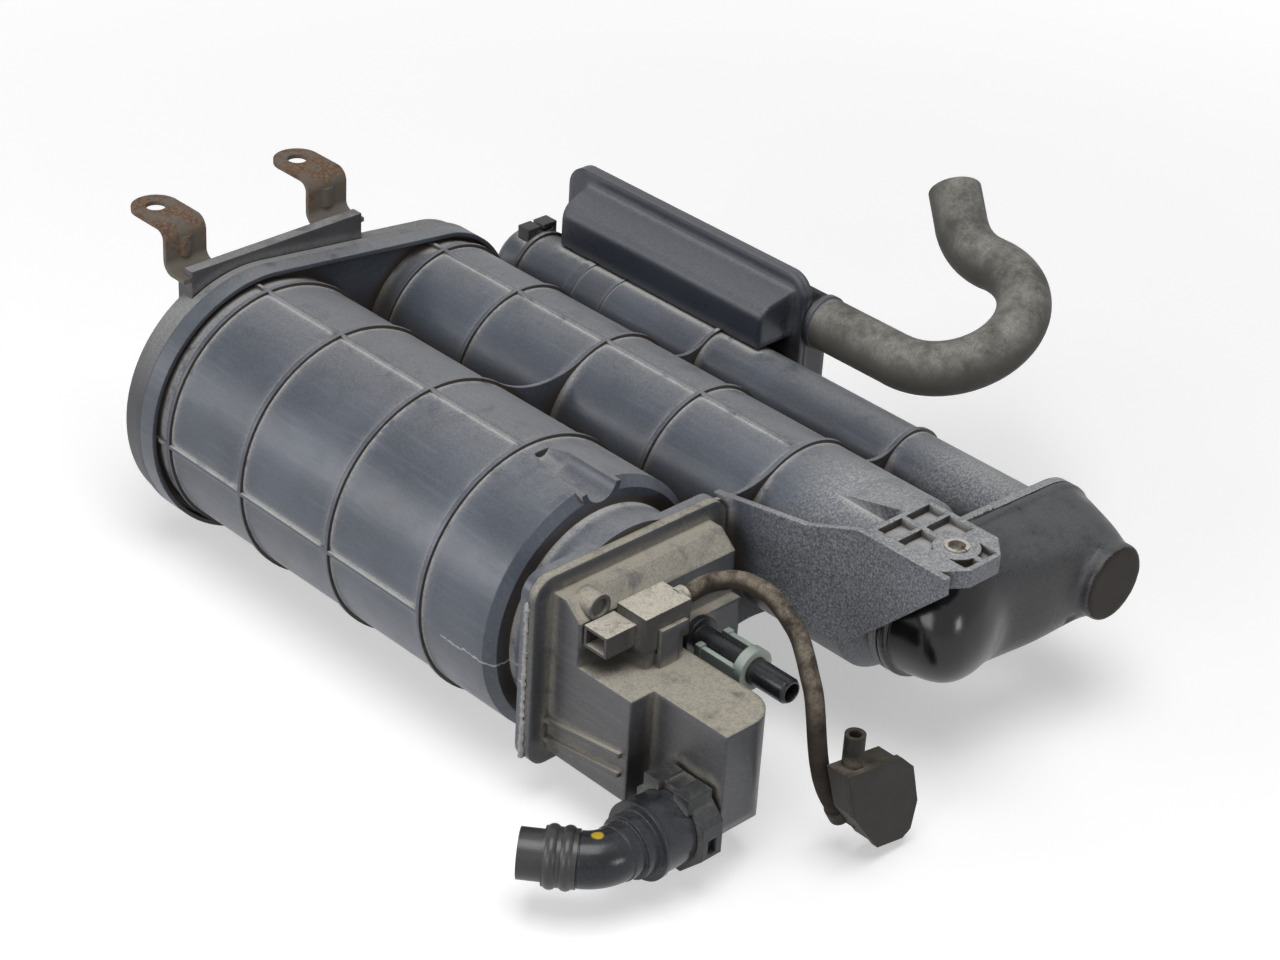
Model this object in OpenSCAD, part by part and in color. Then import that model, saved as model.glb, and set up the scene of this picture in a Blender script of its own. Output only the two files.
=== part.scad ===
// Charcoal canister: three carbon chambers moulded side by side, with a rear cover on a steel
// bracket, a front cap, a valve housing with a pressure sensor, and an upright drain filter.
// Millimetres. X runs from the large chamber to the narrow one, Y towards the bracket, Z up.

/* [Chambers] */
// Outer radius of the large chamber
large_r = 56.5; // [52:0.5:58]
// Outer radius of the middle chamber
mid_r = 37.5; // [34:0.5:39]
// Outer radius of the narrow chamber
narrow_r = 18.5; // [17:0.5:20]
// Wall of the moulded body
wall = 2.6; // [2:0.1:3.2]
// Middle chamber axis, sideways from the large one
mid_x = 99; // [98:0.5:104]
// Middle chamber axis, above the large one
mid_z = 7.5; // [4:0.5:10]
// Narrow chamber axis, sideways from the middle one
narrow_dx = 68.5; // [66:0.5:76]
// Narrow chamber axis, above the middle one
narrow_dz = 0.5; // [-2:0.5:4]
// Distance from the middle hoop rib to the rear flange
rear_run = 118; // [116:1:130]
// Distance from the middle hoop rib to the large chamber's front wall
large_front = 99; // [92:1:104]
// Distance from the middle hoop rib to the middle chamber's front shoulder
mid_front = 172; // [166:1:174]
// Distance from the middle hoop rib to the narrow chamber's closed rear end
narrow_rear = 134; // [128:1:142]

/* [Ribs and webs] */
// Spacing of the hoop ribs
rib_pitch = 57.5; // [56:0.5:59]
// Distance of the last hoop rib from the rear flange
rear_rib_gap = 11; // [8:1:14]
// Height of a rib above the wall
rib_h = 1.5; // [1:0.1:2.5]
// Thickness of a rib
rib_t = 2; // [1.5:0.1:3]
// Radius of the web's hollow edge between the large and middle chambers
large_web_dip = 47; // [40:1:60]
// Radius of the web's hollow edge between the middle and narrow chambers
narrow_web_dip = 20; // [18:1:28]
// Radius of the hose groove over the large chamber's front
groove_r = 8; // [5:0.5:9]
// Length of the hose groove
groove_run = 27; // [18:1:30]

/* [Flanges] */
// Thickness of each welded flange
flange_t = 4; // [3:0.5:5]
// Reach of the rear flange past the large chamber
large_lip = 5; // [4:0.5:7]
// Reach of the rear flange past the middle chamber
mid_lip = 4.5; // [4:0.5:7]
// Distance from the middle chamber's front shoulder to the front cap's seam
cap_gap = 17; // [16:0.5:22]
// Forward reach of the front cap's end disc from its seam
cap_reach = 40; // [38:0.5:44]
// Radius of the cap flange round the middle chamber's neck
cap_mid_r = 32; // [31:0.5:33]
// Radius of the cap flange round the narrow chamber
cap_narrow_r = 28; // [25:0.5:29]
// Outer radius of the middle chamber's front neck
mid_neck_r = 29; // [26:0.5:29]
// Outer radius of the large chamber's front neck
large_neck_r = 46; // [42:0.5:46]

/* [Rear cover] */
// Depth of the rear cover from its seam
cover_depth = 16; // [14:0.5:22]
// Inset of the cover's sides from its flange
cover_inset = 1.5; // [1:0.1:3]
// Width of the bevel round the cover's back
cover_bevel = 4; // [3:0.5:5]

/* [Steel bracket] */
// Distance between the two legs
bracket_pitch = 77.5; // [70:0.5:80]
// Place of the bracket's middle, sideways from the large chamber's axis
bracket_x = 17; // [14:0.5:20]
// Sheet thickness
bracket_t = 2; // [1.5:0.1:2.5]
// Width of a leg
leg_w = 21.5; // [19:0.5:24]
// Height of a leg from the base strip to the top of its tab
leg_rise = 21; // [18:0.5:30]
// Distance from a leg to the hole in its tab
tab_reach = 19.5; // [18:0.5:28]
// Diameter of the bolt holes
bracket_hole_d = 9; // [8:0.1:11]
// Inside radius of the bends
bend_r = 4; // [3:0.5:5]

/* [Mount tab] */
// Place of the tab's hole, sideways from the middle chamber's axis
tab_dx = -17; // [-19:0.5:-15]
// Distance from the cap's seam forward to the tab's hole
tab_dy = 23; // [21:0.5:25]
// Height of the tab's top above the large chamber's axis
tab_top = 52; // [51:0.5:56]
// Thickness of the tab
tab_t = 8; // [6:0.5:9]
// Width of the tab
tab_w = 35; // [34:0.5:38]
// Outer diameter of the steel bush
bush_od = 10; // [9:0.1:11]
// Bore of the steel bush
bush_id = 7; // [6.2:0.1:8]

/* [Front housing] */
// Left edge of the housing flange
housing_left = 53; // [52:0.5:56]
// Right edge of the housing flange
housing_right = 50; // [49:0.5:51]
// Height of the housing flange above the large chamber's axis
housing_top = 43; // [42:0.5:46]
// Depth of the housing flange below the large chamber's axis
housing_bottom = 44; // [43:0.5:48]
// Inset of the housing's left side from its flange
housing_inset = 9.5; // [8:0.5:11]
// Height of the shelf above the large chamber's axis
shelf_z = 9; // [7:0.5:11]
// Height of the upper box above the shelf
upper_h = 26.5; // [25:0.5:29]
// Forward reach of the upper box from the seam
upper_run = 19; // [17:0.5:20]
// Forward reach of the lower box's left part from the seam
lower_run = 49; // [46:0.5:52]
// Forward reach of the valve box from the seam
valve_run = 88; // [84:0.5:94]
// Width of the valve box
valve_w = 29; // [27:0.5:32]
// Depth of the valve box below the shelf
valve_h = 52.5; // [50:0.5:55]
// Step from the lower box's left side to the valve box
valve_step = 12; // [10:0.5:14]

/* [Pipes and elbow] */
// Outer diameter of the spigot for the elbow
spigot_d = 15.8; // [14:0.1:17]
// Length of the spigot
spigot_l = 24; // [22:0.5:26]
// Outer diameter of the elbow's socket
socket_d = 31; // [29:0.5:33]
// Outer diameter of the elbow pipe
elbow_d = 22; // [20:0.5:24]
// Bend of the elbow in degrees
elbow_turn = 50; // [40:1:60]
// Outer diameter of the cut hose on the elbow
elbow_hose_d = 20; // [19:0.5:22]
// Outer diameter of the purge pipe
purge_d = 11; // [10:0.1:12]
// Length of the purge pipe in front of the housing
purge_l = 52; // [46:0.5:58]

/* [Filter box and hoses] */
// Length of the filter box
filter_l = 152.5; // [146:0.5:156]
// Height of the filter box
filter_h = 100; // [97:0.5:102]
// Depth of the filter box's cover
filter_d = 18; // [18:0.5:22]
// Wall of the filter box
filter_wall = 2.2; // [1.8:0.1:2.6]
// Outer diameter of the drain hose
drain_od = 24; // [23:0.5:26]
// Bore of the drain hose
drain_id = 18.2; // [17:0.1:19]
// Radius of the drain hose's turn
drain_turn_r = 34; // [31:0.5:38]
// Angle of the drain hose's turn in degrees
drain_turn = 184; // [176:1:188]
// Tilt of the drain hose's turn in degrees
drain_tilt = 23; // [18:1:28]
// Radius of the drain hose's rise
drain_rise_r = 32; // [28:0.5:36]
// Angle of the drain hose's rise in degrees
drain_rise = 49; // [40:1:56]
// Direction of the drain hose's rise, turned about the hose, in degrees
drain_roll = 156; // [146:1:166]
// Straight length at the drain hose's open end
drain_end = 18.5; // [14:0.5:26]
// Outer diameter of the sensor hose
sensor_hose_d = 7.6; // [7:0.1:8]

/* [Hidden] */
$fn = 96;
eps = 0.01;
// Running gap between pieces that sit in one another
gap = 0.15;
// Seating gap of loose inner pieces
slack = 0.3;

narrow_x = mid_x + narrow_dx;
narrow_z = mid_z + narrow_dz;
large_c = [0, 0];
mid_c = [mid_x, mid_z];
narrow_c = [narrow_x, narrow_z];

rear_seam = rear_run + flange_t;
housing_seam = -(2 * rib_pitch + rib_t / 2);
cap_seam = -(mid_front + cap_gap);
large_flange_r = large_r + large_lip;
mid_flange_r = mid_r + mid_lip;
rear_rib = rear_run - rear_rib_gap;
lip_l = 5;
lip_t = 2;

// Inner forms of the chambers
large_bore = large_r - wall;
mid_bore = mid_r - wall;
narrow_bore = narrow_r - wall;
grid_t = 3;
front_wall_t = 5;
large_floor = -large_front + front_wall_t;
mid_floor = -mid_front + front_wall_t;
large_neck_bore = large_neck_r - 10;
mid_neck_bore = mid_neck_r - wall;
narrow_end = narrow_rear - grid_t;
end_round = 6;
slot_w = 5;
slot_pitch = 8;
shoulder_l = 11;
rim_bevel = 4;

// Hose groove over the large chamber's front
groove_z = large_r + 1;
groove_end = -large_front + groove_run;

// Packed beds and what holds them
fleece_t = 4;
plate_t = 4;
spring_room = 26;
large_back = rear_seam + cover_depth - grid_t - spring_room;
spring_wire = 2.4;
narrow_plate_y = cap_seam + 8;

// Rear cover
cover_back = rear_seam + cover_depth;
cover_side = large_lip - cover_inset;
seat_depth = 11;
seat_front = cover_back - seat_depth;
seat_top = large_flange_r - 0.5;
seat_lip_h = 3;
seat_slot = 5;

// Steel bracket
strip_front = seat_front + seat_lip_h - seat_slot / 2;
leg_y = cover_back + bend_r - bracket_t;
strip_z = seat_top + gap;
strip_l = leg_y - bend_r - strip_front;
tab_level = strip_z + leg_rise;
bracket_hole_y = leg_y + bracket_t + tab_reach;
bead_r = 4;
bead_h = 1.4;

// Mount tab and arm
tab_x = mid_x + tab_dx;
tab_y = cap_seam - tab_dy;
tab_back = tab_y + 30;
tab_front = tab_y - 15;
tab_chamfer = 9;
boss_r = bush_od / 2 + 4.5;
pocket_d = tab_t - 4.5;
arm_t = 3;
arm_fold_y = tab_back + 4;
arm_x = tab_x - tab_w / 2 - arm_t - 1;

// Front housing
hw = 2.4;
box_left = -housing_left + housing_inset;
box_right = housing_right - housing_inset;
upper_front = housing_seam - upper_run;
lower_front = housing_seam - lower_run;
valve_front = housing_seam - valve_run;
right_front = upper_front - 5;
valve_left = box_left + valve_step;
valve_right = valve_left + valve_w;
lower_bottom = shelf_z - valve_h + 5.5;
valve_bottom = shelf_z - valve_h;
upper_top = shelf_z + upper_h;
valve_round = 14;

// Spigot and elbow on the valve box's left side
port_y = valve_front + 14.5;
port_z = valve_bottom + 9.8;
lock_gap = 2;
lock_l = 10.5;
lock_w = 36;
nose_r = 13;
socket_end = valve_left - lock_gap - 25;
socket_bore = spigot_d / 2 + gap;
seal_w = 2;
seal_groove_r = socket_bore + seal_w;
elbow_r = elbow_d / 2;
elbow_bore = elbow_r - 5;
elbow_neck_l = 8;
elbow_turn_r = 17;
elbow_x = socket_end - elbow_neck_l - 5;
stem_r = elbow_r - 3.5;
stem_l = 23;
sleeve_r = elbow_hose_d / 2 + 2.5;

// Purge pipe right of the valve box
purge_x = valve_right + purge_d / 2 + 13.5;
purge_z = 1.5;
purge_mouth = right_front - purge_l;
purge_bore = purge_d / 2 - 1.6;
collar_y = right_front - 27;
retainer_w = 4.5;
retainer_front = collar_y - 1 - gap;

// Pressure sensor on the shelf
sensor_z = shelf_z + 8;
sensor_l = 24;
sensor_x = [box_left + 17, box_left + 17 + sensor_l];
sensor_y = [upper_front - 18.5, upper_front - 2.5];
sensor_h = 16;
sensor_mid = [(sensor_x[0] + sensor_x[1]) / 2, (sensor_y[0] + sensor_y[1]) / 2];
probe_r = 4;
plug_l = 15.5;
plug_w = 12.5;
plug_h = 9.5;
plug_z = sensor_z + 2;
plug_y = upper_front - 13.5;
outlet_y = sensor_y[0] + 7.5;
outlet_z = sensor_z + 12;
outlet_r = 4.6;
outlet_end = sensor_x[1] + 3.5;

// Filter box beside and over the narrow chamber
saddle_z = narrow_z + narrow_r + rib_h + 0.2;
plate_x = narrow_x + narrow_r + 2;
case_t = 3;
filter_x = plate_x + case_t;
filter_top = saddle_z + 28.8;
filter_low = filter_top - filter_h;
filter_back = narrow_rear - 11;
filter_front = filter_back - filter_l;
case_left = narrow_x - 1;
case_inset = 5;
case_back = filter_back - 19;
filter_round = 11;
case_round = 7;
case_rise = 10;
case_side = 18.6;
case_slant = 6;
case_corner = [case_left + case_round,
    saddle_z + case_side - case_round * (1 - sin(case_rise)) / cos(case_rise)];
drain_x = filter_x + filter_d / 2 + 0.5;
drain_z = filter_top - 23.5;
spout_l = 22;
spout_r = drain_id / 2 - gap;
drain_start = filter_front - 4;
turn_y = filter_front - 46.5;
turn_from = [drain_x, turn_y, drain_z];
turn_in = [0, -1, 0];
turn_side = [cos(drain_tilt), 0, sin(drain_tilt)];
turn_out = cos(drain_turn) * turn_in + sin(drain_turn) * turn_side;
rise_from = turn_from + drain_turn_r * (sin(drain_turn) * turn_in + (1 - cos(drain_turn)) * turn_side);
turn_axis = cross(turn_in, turn_side);
rise_side = cos(drain_roll) * cross(turn_axis, turn_out) + sin(drain_roll) * turn_axis;
rise_axis = cross(turn_out, rise_side);
rise_out = cos(drain_rise) * turn_out + sin(drain_rise) * rise_side;
rise_end = rise_from + drain_rise_r * (sin(drain_rise) * turn_out + (1 - cos(drain_rise)) * rise_side);
drain_tip = rise_end + drain_end * rise_out;
drain_swell = 0.1;
link_y = filter_back - 43;
link_r = 6;

// Breather at the end of the sensor hose, and the hose's route
breather_d = 12;
breather_corners = [
    [0, 0], [31, -4.8], [38.6, -12.4], [43.6, -31.1], [41.5, -44], [37, -46.5], [22.2, -43.8], [6.5, -22.6]
];
breather_mid = [22, -25];
nipple_r = 4.4;
nipple_l = 7;
hose_root = [outlet_end, outlet_y, outlet_z];
hose_bends = [
    [0, 0, 0], [4, 0, 0], [8, -1, 1.4], [11, -4, 3.6], [13, -8, 5.8],
    [15, -13, 7.8], [16, -19, 9], [16, -25, 9.4], [16, -31, 9], [15, -37, 7.6],
    [14, -43, 5.2], [13, -49, 1.6], [11, -54.5, -3], [9, -59.5, -8.6], [7.5, -64, -15],
    [5.6, -67.5, -21.5], [4.9, -69.6, -29], [5.6, -70.5, -37], [7.6, -70.5, -45], [10.6, -70.5, -54],
    [14.6, -70.5, -62.2], [17, -70.5, -66.2], [19, -70.5, -69.6]
];
sensor_hose_route = [for (p = hose_bends) hose_root + p];
breather_at = sensor_hose_route[len(hose_bends) - 1] + [-14.8, -17.5, 30.6];

// The part's frame: the middle of its floor outline
x_low = elbow_x - elbow_turn_r * sin(elbow_turn) - stem_l * cos(elbow_turn)
    - elbow_hose_d / 2 * sin(elbow_turn);
x_high = drain_tip[0] + (drain_od / 2 + drain_swell) * sqrt(1 - rise_out[0] * rise_out[0]);
disc_front = cap_seam - cap_reach;
cap_hollow = 14;
y_low = min(disc_front, tab_front);
y_high = bracket_hole_y + leg_w / 2;
frame_shift = [-(x_low + x_high) / 2, -(y_low + y_high) / 2, large_flange_r];

body_grey = "#4a4e58";
housing_grey = "#44464a";
black = "#202124";

// A flat outline in X and Z, made solid from y0 forward to y1
module slab_y(y0, y1)
    translate([0, y1, 0]) rotate([90, 0, 0]) linear_extrude(y1 - y0) children();

// A flat outline in Y and Z, made solid from x0 to x1
module slab_x(x0, x1)
    translate([x0, 0, 0]) rotate([90, 0, 90]) linear_extrude(x1 - x0) children();

// A round bar along Y, with its own radius at each end
module bar_y(c, y0, y1, r0, r1 = undef)
    translate([c[0], y1, c[1]]) rotate([90, 0, 0])
        cylinder(h = y1 - y0, r1 = is_undef(r1) ? r0 : r1, r2 = r0);

// A round bar along X
module bar_x(x0, x1, y, z, r)
    translate([x0, y, z]) rotate([0, 90, 0]) cylinder(h = x1 - x0, r = r);

// A block between two corners
module block(low, high)
    translate(low) cube(high - low);

// Two circles joined by their outer tangents
module joined_circles(c1, r1, c2, r2) {
    d = norm(c2 - c1);
    lean = atan2(c2[1] - c1[1], c2[0] - c1[0]);
    open = acos((r1 - r2) / d);
    up = [cos(lean + open), sin(lean + open)];
    down = [cos(lean - open), sin(lean - open)];
    translate(c1) circle(r1);
    translate(c2) circle(r2);
    sink = 0.05;
    p1 = r1 - sink;
    p2 = r2 - sink;
    polygon([c1 + p1 * up, c1 + p1 * down, c2 + p2 * down, c2 + p2 * up]);
}

// A rectangle with round corners
module round_box(low, high, r) {
    translate([low[0] + r, low[1]]) square([high[0] - low[0] - 2 * r, high[1] - low[1]]);
    translate([low[0], low[1] + r]) square([high[0] - low[0], high[1] - low[1] - 2 * r]);
    for (x = [low[0] + r, high[0] - r])
        for (z = [low[1] + r, high[1] - r])
            translate([x, z]) circle(r);
}

// The hollow-edged web that fills the valley between two round chambers
module valley_web(c1, r1, c2, r2, dip) {
    d = norm(c2 - c1);
    a = r1 + dip;
    b = r2 + dip;
    along = (d * d + a * a - b * b) / (2 * d);
    off = sqrt(a * a - along * along);
    u = (c2 - c1) / d;
    for (side = [1, -1]) {
        top = c1 + along * u + side * off * [-u[1], u[0]];
        difference() {
            polygon([c1, top, c2]);
            translate(top) circle(dip + 0.1);
        }
    }
}

// A round-ended tube swept through a list of points
function unit(v) = v / norm(v);
function heading(p, i) = unit(p[min(i + 1, len(p) - 1)] - p[max(i - 1, 0)]);
function ring(p, t, side, r, n) =
    let (u = unit(cross(side, t)), v = cross(t, u))
    [for (k = [0 : n - 1]) p + r * (cos(360 * k / n) * u + sin(360 * k / n) * v)];
module swept_tube(path, r, side, n) {
    last = len(path) - 1;
    points = [for (i = [0 : last]) each ring(path[i], heading(path, i), side, r, n)];
    sides = [for (i = [0 : last - 1]) for (k = [0 : n - 1])
        [i * n + k, (i + 1) * n + k, (i + 1) * n + (k + 1) % n, i * n + (k + 1) % n]];
    ends = [[for (k = [0 : n - 1]) k], [for (k = [n - 1 : -1 : 0]) last * n + k]];
    polyhedron(points, concat(sides, ends), convexity = 6);
}

// A coil spring along Y
module coil(c, y0, y1, r, turns) {
    steps = 16;
    half = spring_wire / 2;
    path = [for (i = [0 : turns * steps])
        [c[0] + r * cos(360 * i / steps), y0 + half + (y1 - y0 - spring_wire) * i / (turns * steps),
         c[1] + r * sin(360 * i / steps)]];
    swept_tube(path, half, [0, 1, 0], 8);
}

// Straight slots that let vapour through a round grid
module grid_slots(c, y0, y1, r) {
    reach = floor((r - slot_w) / slot_pitch) * slot_pitch;
    for (x = [-reach : slot_pitch : reach]) {
        h = 2 * sqrt(r * r - pow(abs(x) + slot_w / 2, 2));
        block([c[0] + x - slot_w / 2, y0, c[1] - h / 2], [c[0] + x + slot_w / 2, y1, c[1] + h / 2]);
    }
}

// The hose groove's round form, grown by a given amount
module groove_form(grow) {
    bar_y([0, groove_z], -large_front - 1, groove_end, groove_r + grow);
    bar_y([0, groove_z], groove_end, groove_end + groove_r, groove_r + grow, groove_r / 2 + grow);
}

// One chamber's hoop ribs
module hoops(c, r, stations)
    for (y = stations) bar_y(c, y - rib_t / 2, y + rib_t / 2, r + rib_h);

// Four straight ribs along a chamber, at its top, bottom and sides
module long_ribs(c, r, y0, y1, lean) {
    half = rib_t / 2 - 0.25;
    for (a = [lean, 90, 180, 270])
        translate([c[0], 0, c[1]]) rotate([0, a, 0])
            block([-half, y0, r - wall / 2], [half, y1, r + rib_h]);
}

// The arm's folded wall from the housing flange out to the mount tab
module arm_wall() {
    root = [housing_right + slack, housing_seam + flange_t];
    fold = [arm_x, arm_fold_y];
    tip = [arm_x, tab_front + 2];
    drop = -3;
    intersection() {
        translate([0, 0, -20]) linear_extrude(20 + tab_top)
            polygon([root, fold, tip, tip + [arm_t, 0], fold + [arm_t, 0], root + [arm_t, 0]]);
        slab_x(arm_x - 20, arm_x + 20)
            polygon([
                [root[1], 4], [root[1], housing_top - 2], [arm_fold_y + 22, housing_top + 1],
                [arm_fold_y - 2, tab_top], [tip[1], tab_top], [tip[1], tab_top - tab_t],
                [arm_fold_y, drop]
            ]);
    }
}

// The pocketed tab that takes the bush
module mount_tab() {
    half = tab_w / 2;
    rib = 2.4;
    rows = [[tab_back - 11, tab_back - rib], [tab_y + 4.5, tab_back - 13], [tab_front + rib, tab_y - 4]];
    difference() {
        translate([0, 0, tab_top - tab_t]) linear_extrude(tab_t)
            polygon([
                [tab_x - half - arm_t - 1, tab_back], [tab_x + half, tab_back],
                [tab_x + half, tab_front + tab_chamfer], [tab_x + half - tab_chamfer, tab_front],
                [tab_x - half + tab_chamfer, tab_front], [tab_x - half - arm_t - 1, tab_front + tab_chamfer]
            ]);
        difference() {
            for (row = rows) for (side = [-1, 1]) {
                inner = side * rib / 2;
                outer = side * (half - rib - (row[0] < tab_y - 8 ? tab_chamfer - 3 : 0));
                block([tab_x + min(inner, outer), row[0], tab_top - pocket_d],
                      [tab_x + max(inner, outer), row[1], tab_top + 1]);
            }
            translate([tab_x, tab_y, 0]) cylinder(h = tab_top + 2, r = boss_r);
        }
    }
}

// Body that all else hangs on
module body_shell() color(body_grey) {
    mid_stations = [rear_rib, rib_pitch, 0, -rib_pitch, -2 * rib_pitch];
    difference() {
        union() {
            difference() {
                union() {
                    large_chamber_outside();
                    mid_chamber_outside(mid_stations);
                    narrow_chamber_outside();
                    webs_and_flanges();
                }
                bar_y(large_c, large_floor, rear_seam + 1, large_bore);
                bar_y(mid_c, mid_floor, rear_seam + 1, mid_bore);
                bar_y(narrow_c, cap_seam - 1, narrow_end, narrow_bore);
            }
            intersection() {
                groove_form(wall);
                bar_y(large_c, -large_front, groove_end + 2 * groove_r, large_r);
            }
            arm_and_tab();
            filter_seat();
        }
        groove_form(0);
        bar_y(large_c, housing_seam - 1, large_floor - grid_t, large_neck_bore);
        grid_slots(large_c, large_floor - grid_t - 1, large_floor + 1, large_neck_bore - 2);
        bar_y(mid_c, cap_seam - 1, mid_floor - grid_t, mid_neck_bore);
        grid_slots(mid_c, mid_floor - grid_t - 1, mid_floor + 1, mid_neck_bore - 2);
        bar_x(narrow_x, filter_x + 1, link_y, narrow_z, link_r - wall);
        translate([tab_x, tab_y, tab_top - tab_t - 1]) cylinder(h = tab_t + 2, d = bush_od + 2 * gap);
    }
}

module large_chamber_outside() {
    bar_y(large_c, -large_front + rim_bevel, rear_seam, large_r);
    bar_y(large_c, -large_front, -large_front + rim_bevel, large_r - rim_bevel, large_r);
    bar_y(large_c, housing_seam, -large_front + 1, large_neck_r);
    hoops(large_c, large_r, [rear_rib, rib_pitch, 0, -rib_pitch]);
    long_ribs(large_c, large_r, -rib_pitch, rear_run, -3.5);
}

module mid_chamber_outside(stations) {
    bar_y(mid_c, -mid_front, rear_seam, mid_r);
    bar_y(mid_c, -mid_front - shoulder_l, -mid_front, mid_neck_r, mid_r);
    bar_y(mid_c, cap_seam, -mid_front - shoulder_l + 1, mid_neck_r);
    hoops(mid_c, mid_r, stations);
    long_ribs(mid_c, mid_r, -2 * rib_pitch, rear_run, -4);
}

module narrow_chamber_outside() {
    run = narrow_rear - cap_seam;
    translate([narrow_x, cap_seam, narrow_z]) rotate([-90, 0, 0]) rotate_extrude() {
        square([narrow_r - end_round, run]);
        square([narrow_r, run - end_round]);
        translate([narrow_r - end_round, run - end_round]) circle(end_round);
    }
    hoops(narrow_c, narrow_r, [narrow_rear - 16.5, 0, -2 * rib_pitch]);
    bar_y(narrow_c, narrow_rear - 53.5, narrow_rear - 48.5, narrow_r + 0.5);
    bar_y(narrow_c, narrow_rear - 73, narrow_rear - 72, narrow_r + 0.5);
}

module webs_and_flanges() {
    slab_y(-rib_t / 2, rib_t / 2) {
        valley_web(large_c, large_r + rib_h, mid_c, mid_r + rib_h, large_web_dip);
        valley_web(mid_c, mid_r + rib_h, narrow_c, narrow_r + rib_h, narrow_web_dip);
    }
    slab_y(housing_seam, housing_seam + rib_t) {
        intersection() {
            valley_web(large_c, large_r + rib_h, mid_c, mid_r + rib_h, large_web_dip);
            translate([housing_right - 2, -housing_bottom]) square([mid_x, housing_bottom + large_r]);
        }
        valley_web(mid_c, mid_r + rib_h, narrow_c, narrow_r + rib_h, narrow_web_dip);
    }
    slab_y(rear_run, rear_seam) joined_circles(large_c, large_flange_r, mid_c, mid_flange_r);
    slab_y(rear_run - lip_l, rear_run + 1)
        difference() {
            joined_circles(large_c, large_flange_r, mid_c, mid_flange_r);
            joined_circles(large_c, large_flange_r - lip_t, mid_c, mid_flange_r - lip_t);
        }
    slab_y(cap_seam, cap_seam + flange_t) joined_circles(mid_c, cap_mid_r, narrow_c, cap_narrow_r);
    slab_y(housing_seam, housing_seam + flange_t) housing_outline();
}

module housing_outline()
    round_box([-housing_left, -housing_bottom], [housing_right, housing_top], 9);

module arm_and_tab() {
    arm_wall();
    mount_tab();
    wedge_l = 44;
    difference() {
        slab_x(tab_x + 4, tab_x + tab_w / 2)
            polygon([
                [tab_back + wedge_l, mid_z + mid_r - 4], [tab_back - 1, tab_top],
                [tab_back - 1, tab_top - tab_t], [tab_back + wedge_l, mid_z + mid_r - 12]
            ]);
        bar_y(mid_c, mid_floor, 0, mid_bore);
    }
}

// Saddle and link pipe that carry the filter box
module filter_seat() {
    difference() {
        block([case_left + 2, filter_front + 16, narrow_z + narrow_r / 2],
              [narrow_x + 11, case_back - 6, saddle_z]);
        bar_y(narrow_c, filter_front, filter_back, narrow_bore + wall / 2);
    }
    difference() {
        bar_x(narrow_x + narrow_bore - 1, filter_x, link_y, narrow_z, link_r);
        bar_y(narrow_c, link_y - 10, link_y + 10, narrow_bore);
    }
}

// Cover over the rear ends of the large and middle chambers
module rear_cover() color(body_grey) {
    shell = 3;
    inner_large = large_bore;
    inner_mid = mid_bore;
    difference() {
        union() {
            slab_y(rear_seam, rear_seam + flange_t)
                joined_circles(large_c, large_flange_r, mid_c, mid_flange_r);
            slab_y(rear_seam, cover_back - cover_bevel)
                joined_circles(large_c, large_flange_r - cover_inset, mid_c, mid_flange_r - cover_inset);
            slab_y(rear_seam, cover_back)
                joined_circles(large_c, large_flange_r - cover_inset - cover_bevel,
                               mid_c, mid_flange_r - cover_inset - cover_bevel);
            bracket_seat();
        }
        slab_y(rear_seam - 1, cover_back - shell)
            joined_circles(large_c, inner_large, mid_c, inner_mid);
    }
}

// Flat seat on the cover with a lip over the bracket's base strip
module bracket_seat() {
    left = bracket_x - bracket_pitch / 2 - leg_w / 2;
    right = bracket_x + bracket_pitch / 2 + leg_w / 2;
    base = mid_z + mid_r;
    slot_back = strip_front + seat_slot;
    difference() {
        block([left + 4, seat_front, base - 12], [right - 2, cover_back - 1, seat_top]);
        slab_y(rear_seam - 1, cover_back - 3)
            joined_circles(large_c, large_bore, mid_c, mid_bore);
    }
    difference() {
        block([left + 4, seat_front, seat_top - eps],
            [right - 2, slot_back, seat_top + bracket_t + seat_lip_h]);
        block([left - 1, strip_front - gap, seat_top],
            [right + 1, slot_back + 1, seat_top + bracket_t + 2 * gap]);
    }
}

// A quarter bend of the bracket's sheet, open towards +Y and +Z
module sheet_bend()
    intersection() {
        difference() {
            circle(bend_r + bracket_t);
            circle(bend_r);
        }
        square(bend_r + bracket_t);
    }

// Side view of a leg with its strip and tab, in Y and Z
module leg_profile(reach) {
    translate([strip_front, strip_z]) square([strip_l, bracket_t]);
    translate([strip_front + strip_l, strip_z + bend_r + bracket_t]) mirror([0, 1]) sheet_bend();
    upright = leg_rise - 2 * bend_r - bracket_t;
    translate([leg_y, strip_z + bend_r + bracket_t])
        square([bracket_t, upright - bracket_t]);
    translate([leg_y + bend_r + bracket_t, tab_level - bend_r - bracket_t]) mirror([1, 0]) sheet_bend();
    translate([leg_y + bend_r + bracket_t, tab_level - bracket_t]) square([reach, bracket_t]);
}

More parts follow.
